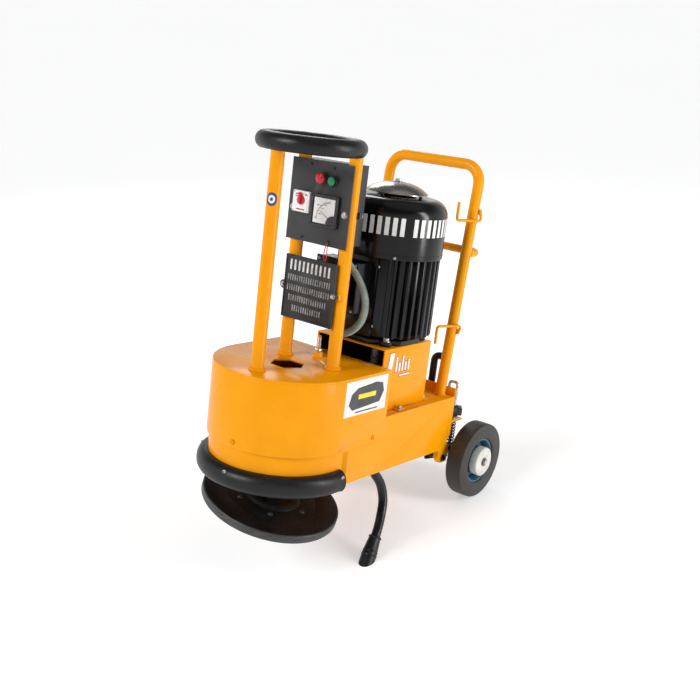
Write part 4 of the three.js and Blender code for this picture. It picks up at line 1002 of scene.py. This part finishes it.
def head():
    lean = Matrix.Translation((0, 0, -COUPLING_DROP)) @ Matrix.Rotation(radians(DISC_LEAN), 4, "Y")
    place = LEVEL @ lean @ Matrix.Translation((0, 0, COUPLING_DROP))
    top, bottom, rim = -416, -443, 208
    plate = lathe([(0, top), (62, top), (64.5, top + 3), (66, top + 10), (69, top + 12), (79, top + 12),
                   (82, top + 10), (83.5, top + 3), (87, top), (132, top - 0.8), (136, top - 2.2),
                   (141, top - 0.8), (200, top), (204, top - 1.5), (204, bottom + 1.5),
                   (200, bottom), (0, bottom)], 144)
    prongs = [block((-13, 13), (side * 30 - 6, side * 30 + 6), (top - 2, -366), 1.5) for side in (-1, 1)]
    piece("disc_plate", joined(plate, *prongs), DISC, "grinding_disc", "disc", place)
    edge = lathe([(203.5, top - 0.6), (206.4, top - 1.6), (rim, top - 4), (rim, bottom + 4),
                  (206.4, bottom + 1.2), (203.5, bottom + 0.4)], 144, ring=True)
    piece("disc_rim", edge, DISC_RIM, body="disc", place=place)
    series("disc_screw", [pan_screw((x, y, top - 0.4), "Z", 8) for x, y in circle(108, 6, 0.2)], CAST,
           body="disc", place=place)
    for i in (1, 2, 3):
        node = f"abrasive_block_{i}"
        piece(f"grit_block_{i}", copied(node, 2.0), GRIT, node, "disc")


KEPT = {"bearing_housing": CAST, "spindle_shaft": STEEL, "spindle_pulley": CAST, "coupling_yoke": CAST,
        "coupling_cross": STEEL, "motor_shaft": STEEL, "motor_pulley": CAST, "drive_belt": RUBBER,
        "motor_fan": DARK}


def kept_nodes():
    """Nodes shown in their own shape, which is right as it is."""
    for node, look in KEPT.items():
        obj = frame["nodes"][node]
        for entry in obj.material_slots:
            entry.material = look[0]
        if not obj.material_slots:
            obj.data.materials.append(look[0])


for build in (hull, box_tabs, labels, bumper, ring, posts, panel, controls, nameplate, conduit, motor, handle,
              rear_fittings, adjuster, wheels, stand, head, kept_nodes):
    build()


# ---- studio
def area_light(name, at, target, size, power, tall=None):
    lamp = bpy.data.lights.new(name, "AREA")
    lamp.energy, lamp.size = power, size
    if tall:
        lamp.shape, lamp.size_y = "RECTANGLE", tall
    obj = bpy.data.objects.new(name, lamp)
    obj.location = at
    obj.rotation_euler = (Vector(target) - Vector(at)).to_track_quat("-Z", "Y").to_euler()
    scene.collection.objects.link(obj)


def studio():
    half = 40
    corners = [(-half, -half, 0), (half, -half, 0), (half, half, 0), (-half, half, 0)]
    floor_mesh = bpy.data.meshes.new("studio_floor")
    floor_mesh.from_pydata(corners, [], [(0, 1, 2, 3)])
    paper = surface("studio_paper", (0.80, 0.80, 0.80), (0.82, 0.82, 0.82), (0.7, 0.8), blotch=0.5, grain=200,
                    bump=0.02)
    shader = paper.node_tree.nodes["Principled BSDF"]
    shader.inputs["Emission Color"].default_value = (1, 1, 1, 1)
    shader.inputs["Emission Strength"].default_value = 0.4
    floor_mesh.materials.append(paper)
    floor = bpy.data.objects.new("studio_floor", floor_mesh)
    scene.collection.objects.link(floor)
    world = bpy.data.worlds.new("studio")
    world.use_nodes = True
    # a bright horizon over a darker ceiling
    add = partial(wired, world.node_tree)
    direction = add("SeparateXYZ", "Z", {"Vector": add("TexCoord", "Generated", {})})
    fade = add("MapRange", "Result", {"Value": direction, "From Min": 0.05, "From Max": 0.5,
                                      "To Min": 1.0, "To Max": 0.16})
    background = world.node_tree.nodes["Background"]
    background.inputs["Color"].default_value = (0.98, 0.99, 1.0, 1)
    world.node_tree.links.new(fade, background.inputs["Strength"])
    scene.world = world
    for name, direction, power, soft in (("key_sun", (-0.35, -1.0, 0.75), 2.1, 25),
                                         ("top_sun", (0.3, 0.2, 1.0), 0.25, 60)):
        lamp = bpy.data.lights.new(name, "SUN")
        lamp.energy, lamp.angle = power, radians(soft)
        obj = bpy.data.objects.new(name, lamp)
        obj.rotation_euler = Vector(direction).to_track_quat("Z", "Y").to_euler()
        scene.collection.objects.link(obj)
    area_light("strip", (3.2, 1.1, 1.5), (0.1, 0.2, 0.9), 0.6, 70, tall=2.4)
    area_light("rear_rim", (-2.4, 2.6, 2.6), (0, 0, 0.6), 1.2, 25)
    scene.view_settings.view_transform = "Standard"


# fitted to the photograph's framing
FOCAL_MM = 53.354
CAMERA_AT = (1.85762723, -2.26448827, 1.77208067)
CAMERA_ELEVATION = 22.268
CAMERA_AZIMUTH = 38.657


def camera():
    lens = bpy.data.cameras.new("photo_view")
    lens.lens, lens.sensor_width, lens.clip_end = FOCAL_MM, 36, 200
    view = bpy.data.objects.new("photo_view", lens)
    view.location = CAMERA_AT
    view.rotation_euler = (radians(90 - CAMERA_ELEVATION), 0, radians(CAMERA_AZIMUTH))
    scene.collection.objects.link(view)
    scene.camera = view


studio()
camera()
